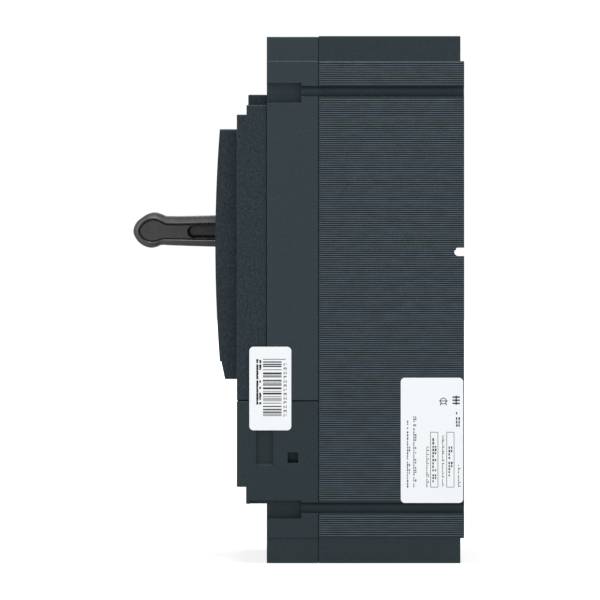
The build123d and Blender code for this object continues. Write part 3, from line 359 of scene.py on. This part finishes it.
def film(name, colour, rough=0.34):
    """Printed label film: very slightly uneven, with faint dust."""
    finish = Finish(name)
    orange = finish.noise(0.8, detail=2.0)
    broad = finish.noise(18.0, detail=2.0)
    dust = finish.noise(0.5, detail=4.0).ramp(0.68, 0.8) * 0.04
    shade = finish.mix(broad, scaled(colour, 0.975), scaled(colour, 1.0))
    shade = finish.mix(dust, shade, (0.35, 0.35, 0.34))
    return finish.surface(
        Base_Color=shade,
        Roughness=rough + (orange - 0.5) * 0.1 + broad * 0.05,
        Normal=finish.bump(orange, 0.25, 0.006, finish.rounded_normal(0.08)),
    )


def ink(name, colour, cover=0.9):
    """Thermal or screen print, thin in places."""
    finish = Finish(name)
    thin = finish.noise(0.3, detail=3.0).ramp(0.2, 0.4)
    shade = finish.mix(thin, scaled(colour, 1 + cover), colour)
    return finish.surface(
        Base_Color=shade,
        Roughness=0.42 + (thin - 0.5) * 0.1,
        Normal=finish.bump(thin, 0.15, 0.003),
    )


def clear_sheet(name, colour):
    """Clear moulded sheet with faint scratches."""
    finish = Finish(name)
    scratch = finish.noise(0.25, detail=4.0, stretch=(1.0, 1.0, 0.06)).ramp(0.62, 0.7)
    haze = finish.noise(9.0, detail=3.0)
    return finish.surface(
        Base_Color=finish.mix(haze, scaled(colour, 0.96), colour),
        Roughness=0.05 + scratch * 0.25 + haze * 0.04,
        Normal=finish.bump(scratch, 0.15, 0.004, finish.rounded_normal(0.3)),
        Transmission_Weight=0.92,
        IOR=1.49,
        Alpha=0.55 + haze * 0.1,
    )


def woven(name, colour):
    """Braided fine copper wire."""
    finish = Finish(name)
    strands = [
        finish.node(
            "ShaderNodeTexWave",
            {"bands_direction": "DIAGONAL"},
            {"Vector": finish.coordinates(stretch), "Scale": 1.3, "Distortion": 0.6},
        )["Fac"]
        for stretch in ((1.0, 1.0, 1.0), (1.0, 1.0, -1.0))
    ]
    weave = strands[0] * strands[1]
    return finish.surface(
        Base_Color=finish.mix(weave, scaled(colour, 0.45), scaled(colour, 1.1)),
        Metallic=0.9,
        Roughness=0.5 - weave * 0.15,
        Normal=finish.bump(weave, 0.8, 0.2),
    )


def floor_finish(name, colour):
    """The studio floor: dim near the object, so that it sends less light up onto the object, and
    fading into the pale surround away from it. It also glows evenly, painted light that washes out
    the shadow under the object.
    """
    finish = Finish(name)
    tone = finish.noise(60.0, detail=2.0)
    place = finish.coordinates()
    away = finish.node("ShaderNodeVectorMath", {"operation": "LENGTH"}, {0: place})["Value"]
    near = scaled(colour, 0.25)
    shade = finish.mix(away.ramp(500.0, 2600.0), near, colour)
    return finish.surface(
        Base_Color=finish.mix(tone * 0.02, shade, near),
        Roughness=0.9 + (tone - 0.5) * 0.04,
        Specular_IOR_Level=0.0,
        # Painted light: the floor glows by itself, which washes out the shadow under the object.
        Emission_Color=(1.0, 1.0, 1.0),
        Emission_Strength=0.75,
    )


# ------------------------------------------------------------------ mesh helpers
def placed(name, data):
    """A new object in the scene."""
    made = bpy.data.objects.new(name, data)
    bpy.context.scene.collection.objects.link(made)
    return made


def coat(mesh, finish):
    """Gives a mesh one material, by name."""
    mesh.materials.clear()
    mesh.materials.append(bpy.data.materials[finish])


def piece(name, mesh, finish, body, slot, smooth=35):
    """An object for a mesh, with its finish, riding on a body."""
    made = placed(name, mesh)
    coat(mesh, finish)
    for polygon in mesh.polygons:
        polygon.use_smooth = True
    mesh.set_sharp_from_angle(angle=math.radians(smooth))
    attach(made, body)
    return made


def from_bmesh(name, made):
    """Ends a bmesh as a mesh with its faces turned outwards."""
    mesh = bpy.data.meshes.new(name)
    bmesh.ops.recalc_face_normals(made, faces=made.faces)
    made.to_mesh(mesh)
    made.free()
    return mesh


def loft(made, outlines):
    """Adds the closed solid through a row of outlines with the same number of points."""
    loops = [[made.verts.new(p) for p in outline] for outline in outlines]
    made.faces.new(loops[0])
    made.faces.new(list(reversed(loops[-1])))
    for near, far in zip(loops, loops[1:]):
        for i in range(len(near)):
            j = (i + 1) % len(near)
            made.faces.new((near[i], far[i], far[j], near[j]))


def prism(made, outline, direction):
    """Adds the closed solid swept by an outline along a direction."""
    loft(made, (outline, [p + direction for p in outline]))


def round_rectangle(low, high, corner):
    """The (u, v) points of a rectangle with round corners."""
    steps = 3
    corner = min(corner, (high[0] - low[0]) / 2 - 1e-6, (high[1] - low[1]) / 2 - 1e-6)
    centres = (
        (high[0] - corner, high[1] - corner),
        (low[0] + corner, high[1] - corner),
        (low[0] + corner, low[1] + corner),
        (high[0] - corner, low[1] + corner),
    )
    points = []
    for quarter, centre in enumerate(centres):
        for i in range(steps + 1):
            angle = math.radians(90 * (quarter + i / steps))
            points.append(
                (centre[0] + corner * math.cos(angle), centre[1] + corner * math.sin(angle))
            )
    return points


class Sheet:
    """A flat place for printed marks. The marks gather in one bmesh, which sheets can share."""

    def __init__(self, origin, directions, lift=0.02, made=None):
        self.origin = Vector(origin)
        self.across, self.up, self.out = (Vector(d) for d in directions)
        self.lift = lift * MM
        self.made = bmesh.new() if made is None else made

    def stamp(self, outline, thickness=2):
        """A mark with a (u, v) outline in millimetres. It starts one lift under the sheet."""
        foot = [
            self.origin + (self.across * u + self.up * v) * MM - self.out * self.lift
            for u, v in outline
        ]
        prism(self.made, foot, self.out * (thickness * self.lift))

    def mark(self, low, high, corner=0.1):
        """A rectangular mark between two corners, in millimetres."""
        self.stamp(round_rectangle(low, high, corner))

    def frame(self, low, high, line=0.25):
        """An outlined box."""
        self.mark(low, (high[0], low[1] + line))
        self.mark((low[0], high[1] - line), high)
        self.mark((low[0], low[1] + line), (low[0] + line, high[1] - line))
        self.mark((high[0] - line, low[1] + line), (high[0], high[1] - line))

    def ring(self, centre, radius, line, steps):
        """A ring of so many straight marks."""
        for i in range(steps):
            first, last = (math.radians(360.0 * n / steps) for n in (i, i + 1))
            inner = radius - line
            corners = ((first, radius), (last, radius), (last, inner), (first, inner))
            self.stamp(
                [(centre[0] + r * math.cos(a), centre[1] + r * math.sin(a)) for a, r in corners]
            )

    def words(self, start, end, height, seed, upright=False):
        """A row of plain dashes that stands for a line of small print."""
        draw = random.Random(seed)
        level, place = start if upright else reversed(start)
        while place < end - height * 0.4:
            run = min(height * draw.uniform(0.4, 0.8), end - place)
            for stroke in range(2 if draw.random() < 0.5 else 1):
                foot = level + stroke * height * 0.62
                tall = height * (0.42 if draw.random() < 0.5 else 0.34)
                low, high = (foot, place), (foot + tall, place + run)
                if not upright:
                    low, high = reversed(low), reversed(high)
                self.mark(tuple(low), tuple(high), 0.08)
            place += run + height * draw.uniform(0.18, 0.34)
            if draw.random() < 0.14:
                place += height * 0.5

    def finish(self, name, finish, slot):
        """Ends the marks as a piece that rides on the case."""
        piece(name, from_bmesh(name, self.made), finish, "case", slot)


# ------------------------------------------------------------------ settings
def millimetres(name, description, default):
    return bpy.props.FloatProperty(
        name=name, description=description, default=default * MM, unit="LENGTH", precision=5
    )


def colour_property(name, description, default):
    return bpy.props.FloatVectorProperty(
        name=name, description=description, default=default,
        subtype="COLOR", size=3, min=0, max=1,
    )


class BreakerCaseSettings(bpy.types.PropertyGroup):
    """Sizes and colours of the case."""

    rib_pitch: millimetres("Rib pitch", "Distance from one flank rib to the next", 1.04)
    rib_rise: millimetres("Rib height", "How far the ribs stand out of the flank", 0.33)
    rib_crest: bpy.props.FloatProperty(
        name="Rib crest", description="Share of the pitch that is crest",
        default=0.46, subtype="FACTOR",
    )
    case_colour: colour_property(
        "Case colour", "Moulding of the base and the trip unit", (0.0106, 0.0190, 0.0234)
    )
    cover_colour: colour_property(
        "Cover colour", "Moulding of the main cover", (0.0150, 0.0250, 0.0306)
    )
    # The colour of the painted highlight along the rib crests.
    rib_highlight_colour: colour_property(
        "Rib colour", "Rubbed crests of the flank ribs", (0.054, 0.072, 0.088)
    )
    front_colour: colour_property(
        "Front colour", "Moulding of the front cover", (0.0052, 0.0157, 0.0232)
    )


class BreakerHandleSettings(bpy.types.PropertyGroup):
    """Sizes and colours of the handle."""

    panel_sink: millimetres("Panel depth", "How deep the side panel lies", 0.9)
    pocket_depth: millimetres("Pocket depth", "How deep the pocket at the grip's root is", 6.2)
    edge: millimetres("Edge radius", "Rounding of the grip's edges", 0.9)
    handle_colour: colour_property(
        "Handle colour", "Moulding of the grip", (0.0205, 0.0194, 0.0204)
    )
    rim_fall: millimetres("Rim fall", "How far the rim slopes back to its outer edge", 1.5)


class BreakerPrintSettings(bpy.types.PropertyGroup):
    """Colours of the labels and marks."""

    film_colour: colour_property("Label film", "White of the stickers", (0.742, 0.772, 0.792))
    ink_colour: colour_property("Ink", "Black of the print", (0.012, 0.012, 0.014))


class BreakerStageSettings(bpy.types.PropertyGroup):
    """Camera, lights and floor."""

    camera_distance: bpy.props.FloatProperty(
        name="Camera distance", description="From the near flank to the camera",
        default=2.5, unit="LENGTH",
    )
    view_width: bpy.props.FloatProperty(
        name="View width", description="Width seen at the near flank",
        default=0.29005, unit="LENGTH",
    )
    light: bpy.props.FloatProperty(
        name="Light", description="Strength of the soft boxes",
        default=1.0, subtype="FACTOR", max=10,
    )
    floor_colour: colour_property("Floor", "Pale floor", (0.99, 0.99, 0.99))


def settings(name):
    return getattr(bpy.context.scene, name)


# ------------------------------------------------------------------ operators
class BREAKER_OT_finishes(bpy.types.Operator):
    """Give every carried-over part its finish"""

    bl_idname = "breaker.finishes"
    bl_label = "Finishes"

    def execute(self, context):
        case = settings("breaker_case")
        prints = settings("breaker_prints")
        handle = settings("breaker_handle")
        black, tinned, stained = (0.10, 0.10, 0.105), (0.66, 0.65, 0.62), (0.60, 0.55, 0.40)
        materials = (
            moulding("case_moulding", case.case_colour, grain=0.20, relief=0.010),
            moulding("cover_moulding", case.cover_colour, grain=0.24),
            moulding("trip_moulding", case.case_colour, grain=0.24),
            moulding(
                "front_moulding", case.front_colour, grain=0.42, relief=0.05, rough=0.62,
                mottle=0.02, patches=0.8,
            ),
            ribbed_moulding("rib_moulding", case.case_colour, case.rib_highlight_colour),
            gripped_moulding("handle_moulding", handle.handle_colour),
            moulding("shutter_moulding", (0.012, 0.012, 0.013), rough=0.5),
            moulding("shaft_moulding", (0.06, 0.028, 0.016), grain=0.5, rough=0.45),
            moulding("arc_fibre", (0.17, 0.055, 0.035), grain=0.8, relief=0.03, rough=0.8),
            moulding("dial_moulding", (0.36, 0.40, 0.42), grain=0.15, rough=0.35),
            moulding("button_moulding", (0.42, 0.018, 0.014), grain=0.15, rough=0.3),
            plated("bright_screw", (0.62, 0.62, 0.60)),
            plated("black_screw", black, rough=0.4),
            plated("tinned_copper", tinned, rough=0.38, along=(1, 0.1, 0.1)),
            plated("copper", (0.72, 0.36, 0.22), tarnish=(0.25, 0.10, 0.05)),
            plated("silver_contact", (0.70, 0.69, 0.66), rough=0.45),
            plated("mechanism_steel", stained, tarnish=(0.35, 0.28, 0.12)),
            plated("spring_steel", (0.56, 0.55, 0.52), rough=0.28),
            plated("brass_strip", (0.68, 0.56, 0.32)),
            clear_sheet("clear_window", (0.92, 0.95, 0.96)),
            film("label_film", prints.film_colour),
            film("nameplate_film", (0.46, 0.48, 0.49), rough=0.4),
            woven("braid", (0.72, 0.38, 0.24)),
        )
        made = {material.name: material for material in materials}
        slots = {**SLOTS, "flexible_braids": "braid", "trip_unit_housing": "trip_moulding"}
        for name, node in frame["nodes"].items():
            node.data.materials.clear()
            node.data.materials.append(made[slots[name]])
        return {"FINISHED"}


class BREAKER_OT_ribs(bpy.types.Operator):
    """Add the fine moulded ribs on both flanks of the base"""

    bl_idname = "breaker.ribs"
    bl_label = "Flank ribs"

    # From the base's bottom or top: the smooth end block, then the near and far side of the groove.
    bottom_block, bottom_groove = 12.9 * MM, (23.4 * MM, 30.2 * MM)
    top_block, top_groove = 12.2 * MM, (23.8 * MM, 29.6 * MM)
    # The cross channel's notch in the rear edge: its height, and its round end's centre and radius.
    notch_height, notch_depth, notch_radius = 23.1 * MM, 2.75 * MM, 2.05 * MM
    half_rib, notch_gap, rear_gap, front_gap = 0.35 * MM, 0.1 * MM, 0.5 * MM, 0.35 * MM

    def execute(self, context):
        case = settings("breaker_case")
        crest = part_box("main_cover")[1].x
        front = depth_range("base")[1] - self.front_gap
        bottom, top = height_range("base")
        bands = (
            (bottom + self.bottom_block, bottom + self.bottom_groove[0]),
            (bottom + self.bottom_groove[1], top - self.top_groove[1]),
            (top - self.top_groove[0], top - self.top_block),
        )
        for side, sign in SIDES.items():
            made = bmesh.new()
            for start, end in bands:
                for i in range(int((end - start) / case.rib_pitch)):
                    middle = start + (i + 0.5) * case.rib_pitch
                    self.rib(made, sign, crest, middle, self.rear_end(middle), front, case)
            name = f"flank_ribs_{side}"
            mesh = from_bmesh(name, made)
            piece(name, mesh, "rib_moulding", "case", "case_moulding", smooth=70)
        return {"FINISHED"}

    def rear_end(self, height):
        """Where a rib starts: at the rear edge, or in front of the cross channel's notch."""
        beside = abs(height - self.notch_height) - self.half_rib
        if beside >= self.notch_radius:
            return self.rear_gap
        bulge = math.sqrt(self.notch_radius**2 - max(beside, 0.0) ** 2)
        return self.notch_depth + bulge + self.notch_gap

    @staticmethod
    def rib(made, sign, crest, middle, rear, front, case):
        """One rib: a low arch that runs from the rear to the parting line."""
        half = case.rib_pitch * case.rib_crest / 2
        foot = case.rib_pitch * 0.49
        arch = (
            (-foot, -0.9),
            (-foot, 0.0),
            (-half, 0.88),
            (-half * 0.5, 1.0),
            (half * 0.5, 1.0),
            (half, 0.88),
            (foot, 0.0),
            (foot, -0.9),
        )
        root = crest - case.rib_rise
        outline = [
            on_flank(sign * (root + case.rib_rise * rise), rear, middle + up) for up, rise in arch
        ]
        prism(made, outline, Vector((0, rear - front, 0)))


# The grip's outline and its side panel's, in millimetres: forwards from the root, and up.
GRIP_OUTLINE = (
    (0.0, -7.75), (13.0, -7.8), (17.5, -8.3), (30.0, -8.1), (45.0, -7.6), (49.3, -7.45),
    (51.9, -8.4), (54.9, -8.8), (58.4, -7.6), (61.3, -4.9), (63.0, -0.8), (61.6, 3.4),
    (58.9, 5.9), (55.6, 7.9), (52.0, 8.7), (48.9, 7.8), (46.4, 6.9), (30.0, 7.0),
    (17.5, 7.35), (13.0, 7.6), (0.0, 7.7),
)
GRIP_PANEL = (
    (1.5, -5.2), (13.0, -5.3), (17.5, -5.4), (30.0, -5.3), (45.0, -5.0), (48.8, -5.1),
    (51.4, -5.9), (54.2, -6.2), (57.0, -5.4), (59.2, -3.6), (60.4, -0.8), (59.3, 2.1),
    (57.3, 4.0), (54.8, 5.2), (52.0, 5.4), (49.2, 4.3), (46.2, 3.1), (30.0, 3.2),
    (17.5, 3.4), (13.0, 3.5), (1.5, 3.5),
)
GRIP_CORNERS = (0, len(GRIP_OUTLINE) - 1)
# The root pocket's mouth and floor: how far down, up and forwards each reaches.
POCKET_MOUTH = (-4.9, 2.3, 36.6)
POCKET_FLOOR = (-2.6, 1.9, 35.2)
POCKET_ROOT = 2.5


class BREAKER_OT_handle(bpy.types.Operator):
    """Build the grip with its round head, sunk side panels and root pockets"""

    bl_idname = "breaker.handle"
    bl_label = "Handle grip"

    def execute(self, context):
        handle = settings("breaker_handle")
        low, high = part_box("handle")
        self.start = Vector((0.0, high.y, (low.z + high.z) / 2))
        self.half = high.x
        grip = self.body(handle)
        for side in SIDES.values():
            grip = self.cut(grip, self.pocket(side, handle.pocket_depth))
        made = piece("handle_grip", grip, "handle_moulding", "handle", "handle_moulding")
        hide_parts("handle")
        return {"FINISHED"}

    def place(self, x, outline):
        """Points of an outline of (along, up) millimetres, at one distance across."""
        return [self.start + Vector((x, -along * MM, up * MM)) for along, up in outline]

    @staticmethod
    def smooth(keys, steps=5):
        """A closed line through the key points, rounded everywhere but at the root."""
        points = []
        count = len(keys)
        for i in range(count):
            here, after = Vector(keys[i]), Vector(keys[(i + 1) % count])
            if i == count - 1:
                points += [here.lerp(after, t / steps) for t in range(steps)]
                continue
            before = Vector(keys[i - 1]) if i not in GRIP_CORNERS else here
            beyond = Vector(keys[(i + 2) % count]) if i + 1 not in GRIP_CORNERS else after
            reach = (after - here).length / 3
            first = here + (after - before).normalized() * reach
            last = after - (beyond - here).normalized() * reach
            for step in range(steps):
                t = step / steps
                u = 1 - t
                points.append(
                    u**3 * here + 3 * u * u * t * first + 3 * u * t * t * last + t**3 * after
                )
        return points

    @staticmethod
    def inset(points, by):
        """The closed line moved inwards."""
        moved = []
        for i, point in enumerate(points):
            along = (points[(i + 1) % len(points)] - points[i - 1]).normalized()
            moved.append(point + Vector((-along.y, along.x)) * by)
        return moved

    def body(self, handle):
        """The grip as loops from one side's panel, over the rim and the edges, to the other's."""
        outline, panel = self.smooth(GRIP_OUTLINE), self.smooth(GRIP_PANEL)
        edge, sink = handle.edge, handle.panel_sink
        groove = sink * 1.7
        # From the sunk panel, down and up its groove, to the rim: how deep, and how far inside.
        steps = ((sink, 0.85), (groove, 0.55), (groove, 0.35), (sink * 0.3, 0.1), (0.0, -0.25))
        loops = [(self.half - depth, self.inset(panel, by)) for depth, by in steps]
        arcs = 4
        for i in range(arcs + 1):
            angle = math.radians(90 * i / arcs)
            across = self.half - handle.rim_fall - edge * (1 - math.cos(angle))
            loops.append((across, self.inset(outline, edge / MM * (1 - math.sin(angle)))))
        made = bmesh.new()
        sides = loops + [(-x, points) for x, points in reversed(loops)]
        loft(made, [self.place(x, points) for x, points in sides])
        bmesh.ops.triangulate(made, faces=[f for f in made.faces if len(f.verts) > 4])
        return from_bmesh("handle_grip", made)

    @staticmethod
    def round_ended(low, high, end, steps=10):
        """A slot's outline from the root, with a round front end."""
        radius, middle = (high - low) / 2, (high + low) / 2
        arc = [math.radians(-90 + 180 * i / steps) for i in range(steps + 1)]
        curve = [(end - radius + radius * math.cos(a), middle + radius * math.sin(a)) for a in arc]
        return [(POCKET_ROOT, low), *curve, (POCKET_ROOT, high)]

    def pocket(self, side, depth):
        """A cutter for the pocket in one side of the root, which narrows towards its floor."""
        made = bmesh.new()
        mouth = self.place(side * (self.half + MM), self.round_ended(*POCKET_MOUTH))
        floor = self.place(side * (self.half - depth), self.round_ended(*POCKET_FLOOR))
        loft(made, (mouth, floor))
        return from_bmesh("grip_pocket", made)

    @staticmethod
    def cut(mesh, cutter):
        """The mesh with the cutter taken away."""
        body, tool = placed("cut_body", mesh), placed("cut_tool", cutter)
        change = body.modifiers.new("cut", "BOOLEAN")
        change.operation = "DIFFERENCE"
        change.solver = "EXACT"
        change.object = tool
        result = bpy.data.meshes.new_from_object(
            body.evaluated_get(bpy.context.evaluated_depsgraph_get())
        )
        for holder in (body, tool):
            bpy.data.objects.remove(holder)
        for used in (mesh, cutter):
            bpy.data.meshes.remove(used)
        result.name = "handle_grip"
        return result


class BREAKER_OT_flexing(bpy.types.Operator):
    """Copy the braids and the button's spring into pieces of their own, in place of their CAD
    nodes; the spring rides on the case
    """

    bl_idname = "breaker.flexing"
    bl_label = "Flexing pieces"

    def execute(self, context):
        braids = self.copy_of("flexible_braids", "contact_braids", "braid")
        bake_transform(braids)
        spring = self.copy_of("trip_button_spring", "button_return_spring", "spring_steel")
        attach(spring, "case")
        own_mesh(spring)
        return {"FINISHED"}

    @staticmethod
    def copy_of(node, name, finish):
        """A piece with the shape of a CAD node, which it replaces."""
        source = frame["nodes"][node]
        mesh = source.data.copy()
        mesh.transform(source.matrix_world)
        mesh.name = name
        coat(mesh, finish)
        made = placed(name, mesh)
        SLOTS[node]
        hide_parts(node)
        return made


class BREAKER_OT_rating_print(bpy.types.Operator):
    """Print plain rows, boxes, blocks and a ring on the rating label"""

    bl_idname = "breaker.rating_print"
    bl_label = "Rating label print"

    def execute(self, context):
        low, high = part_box("rating_label")
        sheet = Sheet((high.x, low.y, low.z), RIGHT_FLANK)
        # Rows of small print, which run upwards: across the label, start, end and height.
        rows = (
            (3.0, 7.4, 40.6, 1.5),
            (6.1, 7.6, 42.1, 1.4),
            (12.4, 7.6, 27.2, 1.1),
            (20.0, 7.9, 32.5, 1.0),
            (27.7, 7.8, 18.9, 1.1),
        )
        for seed, (across, start, end, height) in enumerate(rows):
            sheet.words((across, start), end, height, seed, upright=True)
        boxed_rows = ((14.3, 10.0, 32.0), (22.1, 12.9, 28.2))
        for seed, (across, start, end) in enumerate(boxed_rows, start=13):
            sheet.frame((across, 7.5), (across + 3.8, 34.3))
            sheet.words((across + 1.0, start), end, 1.9, seed, upright=True)
        sheet.words((26.7, 36.9), 44.6, 1.9, seed=9, upright=True)
        sheet.ring((20.6, 49.3), 1.6, 0.4, 20)
        sheet.mark((18.5, 49.1), (22.7, 49.5))
        sheet.mark((19.0, 47.2), (19.5, 48.2))
        sheet.mark((21.7, 47.2), (22.2, 48.2))
        for i in range(3):
            sheet.mark((25.0, 47.8 + 1.5 * i), (28.6, 48.5 + 1.5 * i))
        sheet.mark((26.5, 47.4), (27.1, 51.9))
        sheet.finish("rating_label_print", "print_black", "label_film")
        return {"FINISHED"}


class BREAKER_OT_barcode_print(bpy.types.Operator):
    """Print plain bars and rows of blocks on the barcode label"""

    bl_idname = "breaker.barcode_print"
    bl_label = "Barcode label print"

    def execute(self, context):
        low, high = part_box("barcode_label")
        tall = (high.z - low.z) / MM
        sheet = Sheet((high.x, low.y, low.z), RIGHT_FLANK)
        self.bars(sheet, tall - 5.9, 5.9)
        for i in range(13):
            top = tall - 8.0 - i * 2.05
            sheet.mark((16.6, top - 1.2), (17.0, top), 0.08)
            sheet.mark((17.6, top - (1.2 if i % 3 else 0.6)), (18.0, top), 0.08)
            if i % 2:
                sheet.mark((16.9, top - 0.4), (17.7, top), 0.08)
        for seed in (4, 5):
            sheet.words((3.4, 12.5), 34.8, 2.3, seed, upright=True)
        sheet.finish("barcode_label_print", "print_black", "label_film")
        return {"FINISHED"}

    @staticmethod
    def bars(sheet, place, end):
        """Bars and gaps of drawn widths, downwards. The first and the last bar are longer."""
        draw = random.Random(21)
        longest = True
        while place > end:
            bar = draw.choice((0.28, 0.32, 0.55, 0.62, 0.9))
            reach = 17.6 if longest or place - bar < end + 0.4 else 15.6
            sheet.mark((6.6, place - bar), (reach, place), 0.03)
            place -= bar + draw.choice((0.30, 0.34, 0.55, 0.85, 1.15))
            longest = False


class BREAKER_OT_front_print(bpy.types.Operator):
    """Print the nameplate's plain rows, and mark the handle's three positions beside its slot"""

    bl_idname = "breaker.front_print"
    bl_label = "Front marks"

    def execute(self, context):
        low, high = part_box("nameplate")
        sheet = Sheet(low, FRONT)
        self.table_of_rows(sheet, (high.x - low.x) / MM, (high.z - low.z) / MM)
        sheet.finish("nameplate_print", "print_black", "nameplate_film")
        self.position_marks()
        return {"FINISHED"}

    @staticmethod
    def table_of_rows(sheet, wide, tall):
        """A ruled table with two columns of dashes, under a heading bar."""
        margin, line = 2.5, 0.2
        bottom, top, column, heading = tall * 0.12, tall * 0.80, wide * 0.46, tall * 0.88
        for row in range(8):
            level = tall * (0.12 + 0.085 * row)
            sheet.mark((margin, level), (wide - margin, level + line))
            sheet.words((4.0, level + 1.8), wide * 0.40, 1.7, 40 + row)
            sheet.words((wide * 0.5, level + 1.8), wide - 4.5, 1.7, 60 + row)
        sheet.mark((column, bottom), (column + line, top))
        sheet.frame((margin, bottom), (wide - margin, top))
        sheet.mark((margin, heading), (wide * 0.62, heading + 2.6), 0.5)

    @staticmethod
    def curved_front(height):
        """Where the surround's curved front lies at a height, as a y."""
        low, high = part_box("handle_surround")
        curve, reach = 729.0 * MM, 56.35 * MM
        return low.y + curve - math.sqrt(curve**2 - (height - (high.z - reach)) ** 2)

    def position_marks(self):
        """A bar and a ring beside the ends of the handle's slot, and a dash between, in white."""
        middle = centre_of("handle").z
        marks = bmesh.new()
        for level, shape in ((22.0, "bar"), (0.0, "dash"), (-22.0, "ring")):
            height = middle + level * MM
            place = (17.5 * MM, self.curved_front(height), height)
            sheet = Sheet(place, FRONT, lift=0.12, made=marks)
            if shape == "bar":
                sheet.mark((-0.8, -4.0), (0.8, 4.0), 0.3)
            elif shape == "dash":
                sheet.mark((-2.4, -0.5), (2.4, 0.5), 0.3)
            else:
                sheet.ring((0.0, 0.0), 3.8, 1.3, 40)
        sheet.finish("handle_position_marks", "print_white", "label_film")


class BREAKER_OT_dial_scales(bpy.types.Operator):
    """Add the tick marks round the two setting dials"""

    bl_idname = "breaker.dial_scales"
    bl_label = "Dial scales"

    recess_depth = 104.0 * MM
    inner, outer, longest, half_width = 7.0, 8.1, 8.7, 0.14
    first_angle, angle_step, ticks = -45, 27, 11

    def execute(self, context):
        for name in ("overload_dial", "short_circuit_dial"):
            centre = centre_of(name)
            sheet = Sheet((centre.x, -self.recess_depth, centre.z), FRONT, lift=0.03)
            for i in range(self.ticks):
                angle = math.radians(self.first_angle + self.angle_step * i)
                inner, outer = self.inner, self.outer if i % 5 else self.longest
                along = Vector((math.cos(angle), math.sin(angle)))
                beside = Vector((-along.y, along.x)) * self.half_width
                corners = (
                    along * inner - beside,
                    along * outer - beside,
                    along * outer + beside,
                    along * inner + beside,
                )
                sheet.stamp(corners, thickness=3)
            sheet.finish(f"{name}_scale", "print_white", "label_film")
        return {"FINISHED"}


class BREAKER_OT_prints(bpy.types.Operator):
    """Make the inks that the labels and marks use"""

    bl_idname = "breaker.prints"
    bl_label = "Inks"

    def execute(self, context):
        prints = settings("breaker_prints")
        ink("print_black", prints.ink_colour)
        ink("print_white", (0.72, 0.73, 0.73), cover=0.2)
        return {"FINISHED"}


class BREAKER_OT_stage(bpy.types.Operator):
    """Add the pale floor, the soft light and the camera"""

    bl_idname = "breaker.stage"
    bl_label = "Stage"

    floor_radius, floor_gap = 30.0, 0.05 * MM
    sky_strength = 1.02
    # Each lamp's name, place, size in metres and power in watts.
    lamps = (
        ("overhead_softbox", (0.09, -0.09, 1.25), 0.35, 20.0),
        ("front_softbox", (-0.05, -1.30, 0.45), 0.9, 6.0),
    )
    sensor_width, view_depth, view_height = 36.0, 79.4 * MM, -0.2 * MM

    def execute(self, context):
        stage = settings("breaker_stage")
        low, high = CAD_BOX
        self.floor(low.z, stage)
        self.lights(stage, (low + high) / 2)
        self.camera(stage, high.x)
        return {"FINISHED"}

    def floor(self, level, stage):
        made = bmesh.new()
        bmesh.ops.create_circle(made, cap_ends=True, radius=self.floor_radius, segments=96)
        mesh = from_bmesh("studio_floor", made)
        mesh.materials.append(floor_finish("studio_floor", stage.floor_colour))
        floor = placed("studio_floor", mesh)
        floor.location.z = level - self.floor_gap

    def lights(self, stage, centre):
        world = bpy.data.worlds.new("studio")
        bpy.context.scene.world = world
        world.use_nodes = True
        sky = world.node_tree.nodes["Background"]
        sky.inputs["Color"].default_value = (1.0, 1.0, 1.0, 1.0)
        sky.inputs["Strength"].default_value = self.sky_strength
        for name, place, size, power in self.lamps:
            lamp = bpy.data.lights.new(name, "AREA")
            lamp.shape = "SQUARE"
            lamp.size = size
            lamp.energy = power * stage.light
            holder = placed(name, lamp)
            holder.location = place
            self.turn(holder, centre - Vector(place))

    def camera(self, stage, flank):
        data = bpy.data.cameras.new("camera")
        data.sensor_width = self.sensor_width
        data.lens = self.sensor_width * stage.camera_distance / stage.view_width
        data.clip_end = 100.0
        camera = placed("camera", data)
        camera.location = (flank + stage.camera_distance, -self.view_depth, self.view_height)
        self.turn(camera, Vector((-1, 0, 0)))
        bpy.context.scene.camera = camera
        bpy.context.scene.view_settings.view_transform = "Standard"

    @staticmethod
    def turn(holder, aim):
        """Points a lamp or the camera along a direction."""
        holder.rotation_mode = "QUATERNION"
        holder.rotation_quaternion = aim.to_track_quat("-Z", "Y")


class BREAKER_PT_panel(bpy.types.Panel):
    """Lists the breaker's pieces in the order they are made"""

    bl_idname = "BREAKER_PT_panel"
    bl_label = "Breaker"
    bl_space_type = "VIEW_3D"
    bl_region_type = "UI"
    bl_category = "Breaker"

    def draw(self, context):
        for operator in OPERATORS:
            self.layout.operator(operator.bl_idname)


SETTINGS = {
    "breaker_case": BreakerCaseSettings,
    "breaker_handle": BreakerHandleSettings,
    "breaker_prints": BreakerPrintSettings,
    "breaker_stage": BreakerStageSettings,
}
OPERATORS = (
    BREAKER_OT_stage,
    BREAKER_OT_prints,
    BREAKER_OT_finishes,
    BREAKER_OT_ribs,
    BREAKER_OT_handle,
    BREAKER_OT_flexing,
    BREAKER_OT_rating_print,
    BREAKER_OT_barcode_print,
    BREAKER_OT_front_print,
    BREAKER_OT_dial_scales,
)
CLASSES = (*SETTINGS.values(), *OPERATORS, BREAKER_PT_panel)


def register():
    for cls in CLASSES:
        bpy.utils.register_class(cls)
    for name, cls in SETTINGS.items():
        setattr(bpy.types.Scene, name, bpy.props.PointerProperty(type=cls))


def unregister():
    for name in SETTINGS:
        delattr(bpy.types.Scene, name)
    for cls in reversed(CLASSES):
        bpy.utils.unregister_class(cls)


def main():
    register()
    for operator in OPERATORS:
        group, name = operator.bl_idname.split(".")
        getattr(getattr(bpy.ops, group), name)()


if __name__ == "__main__":
    main()
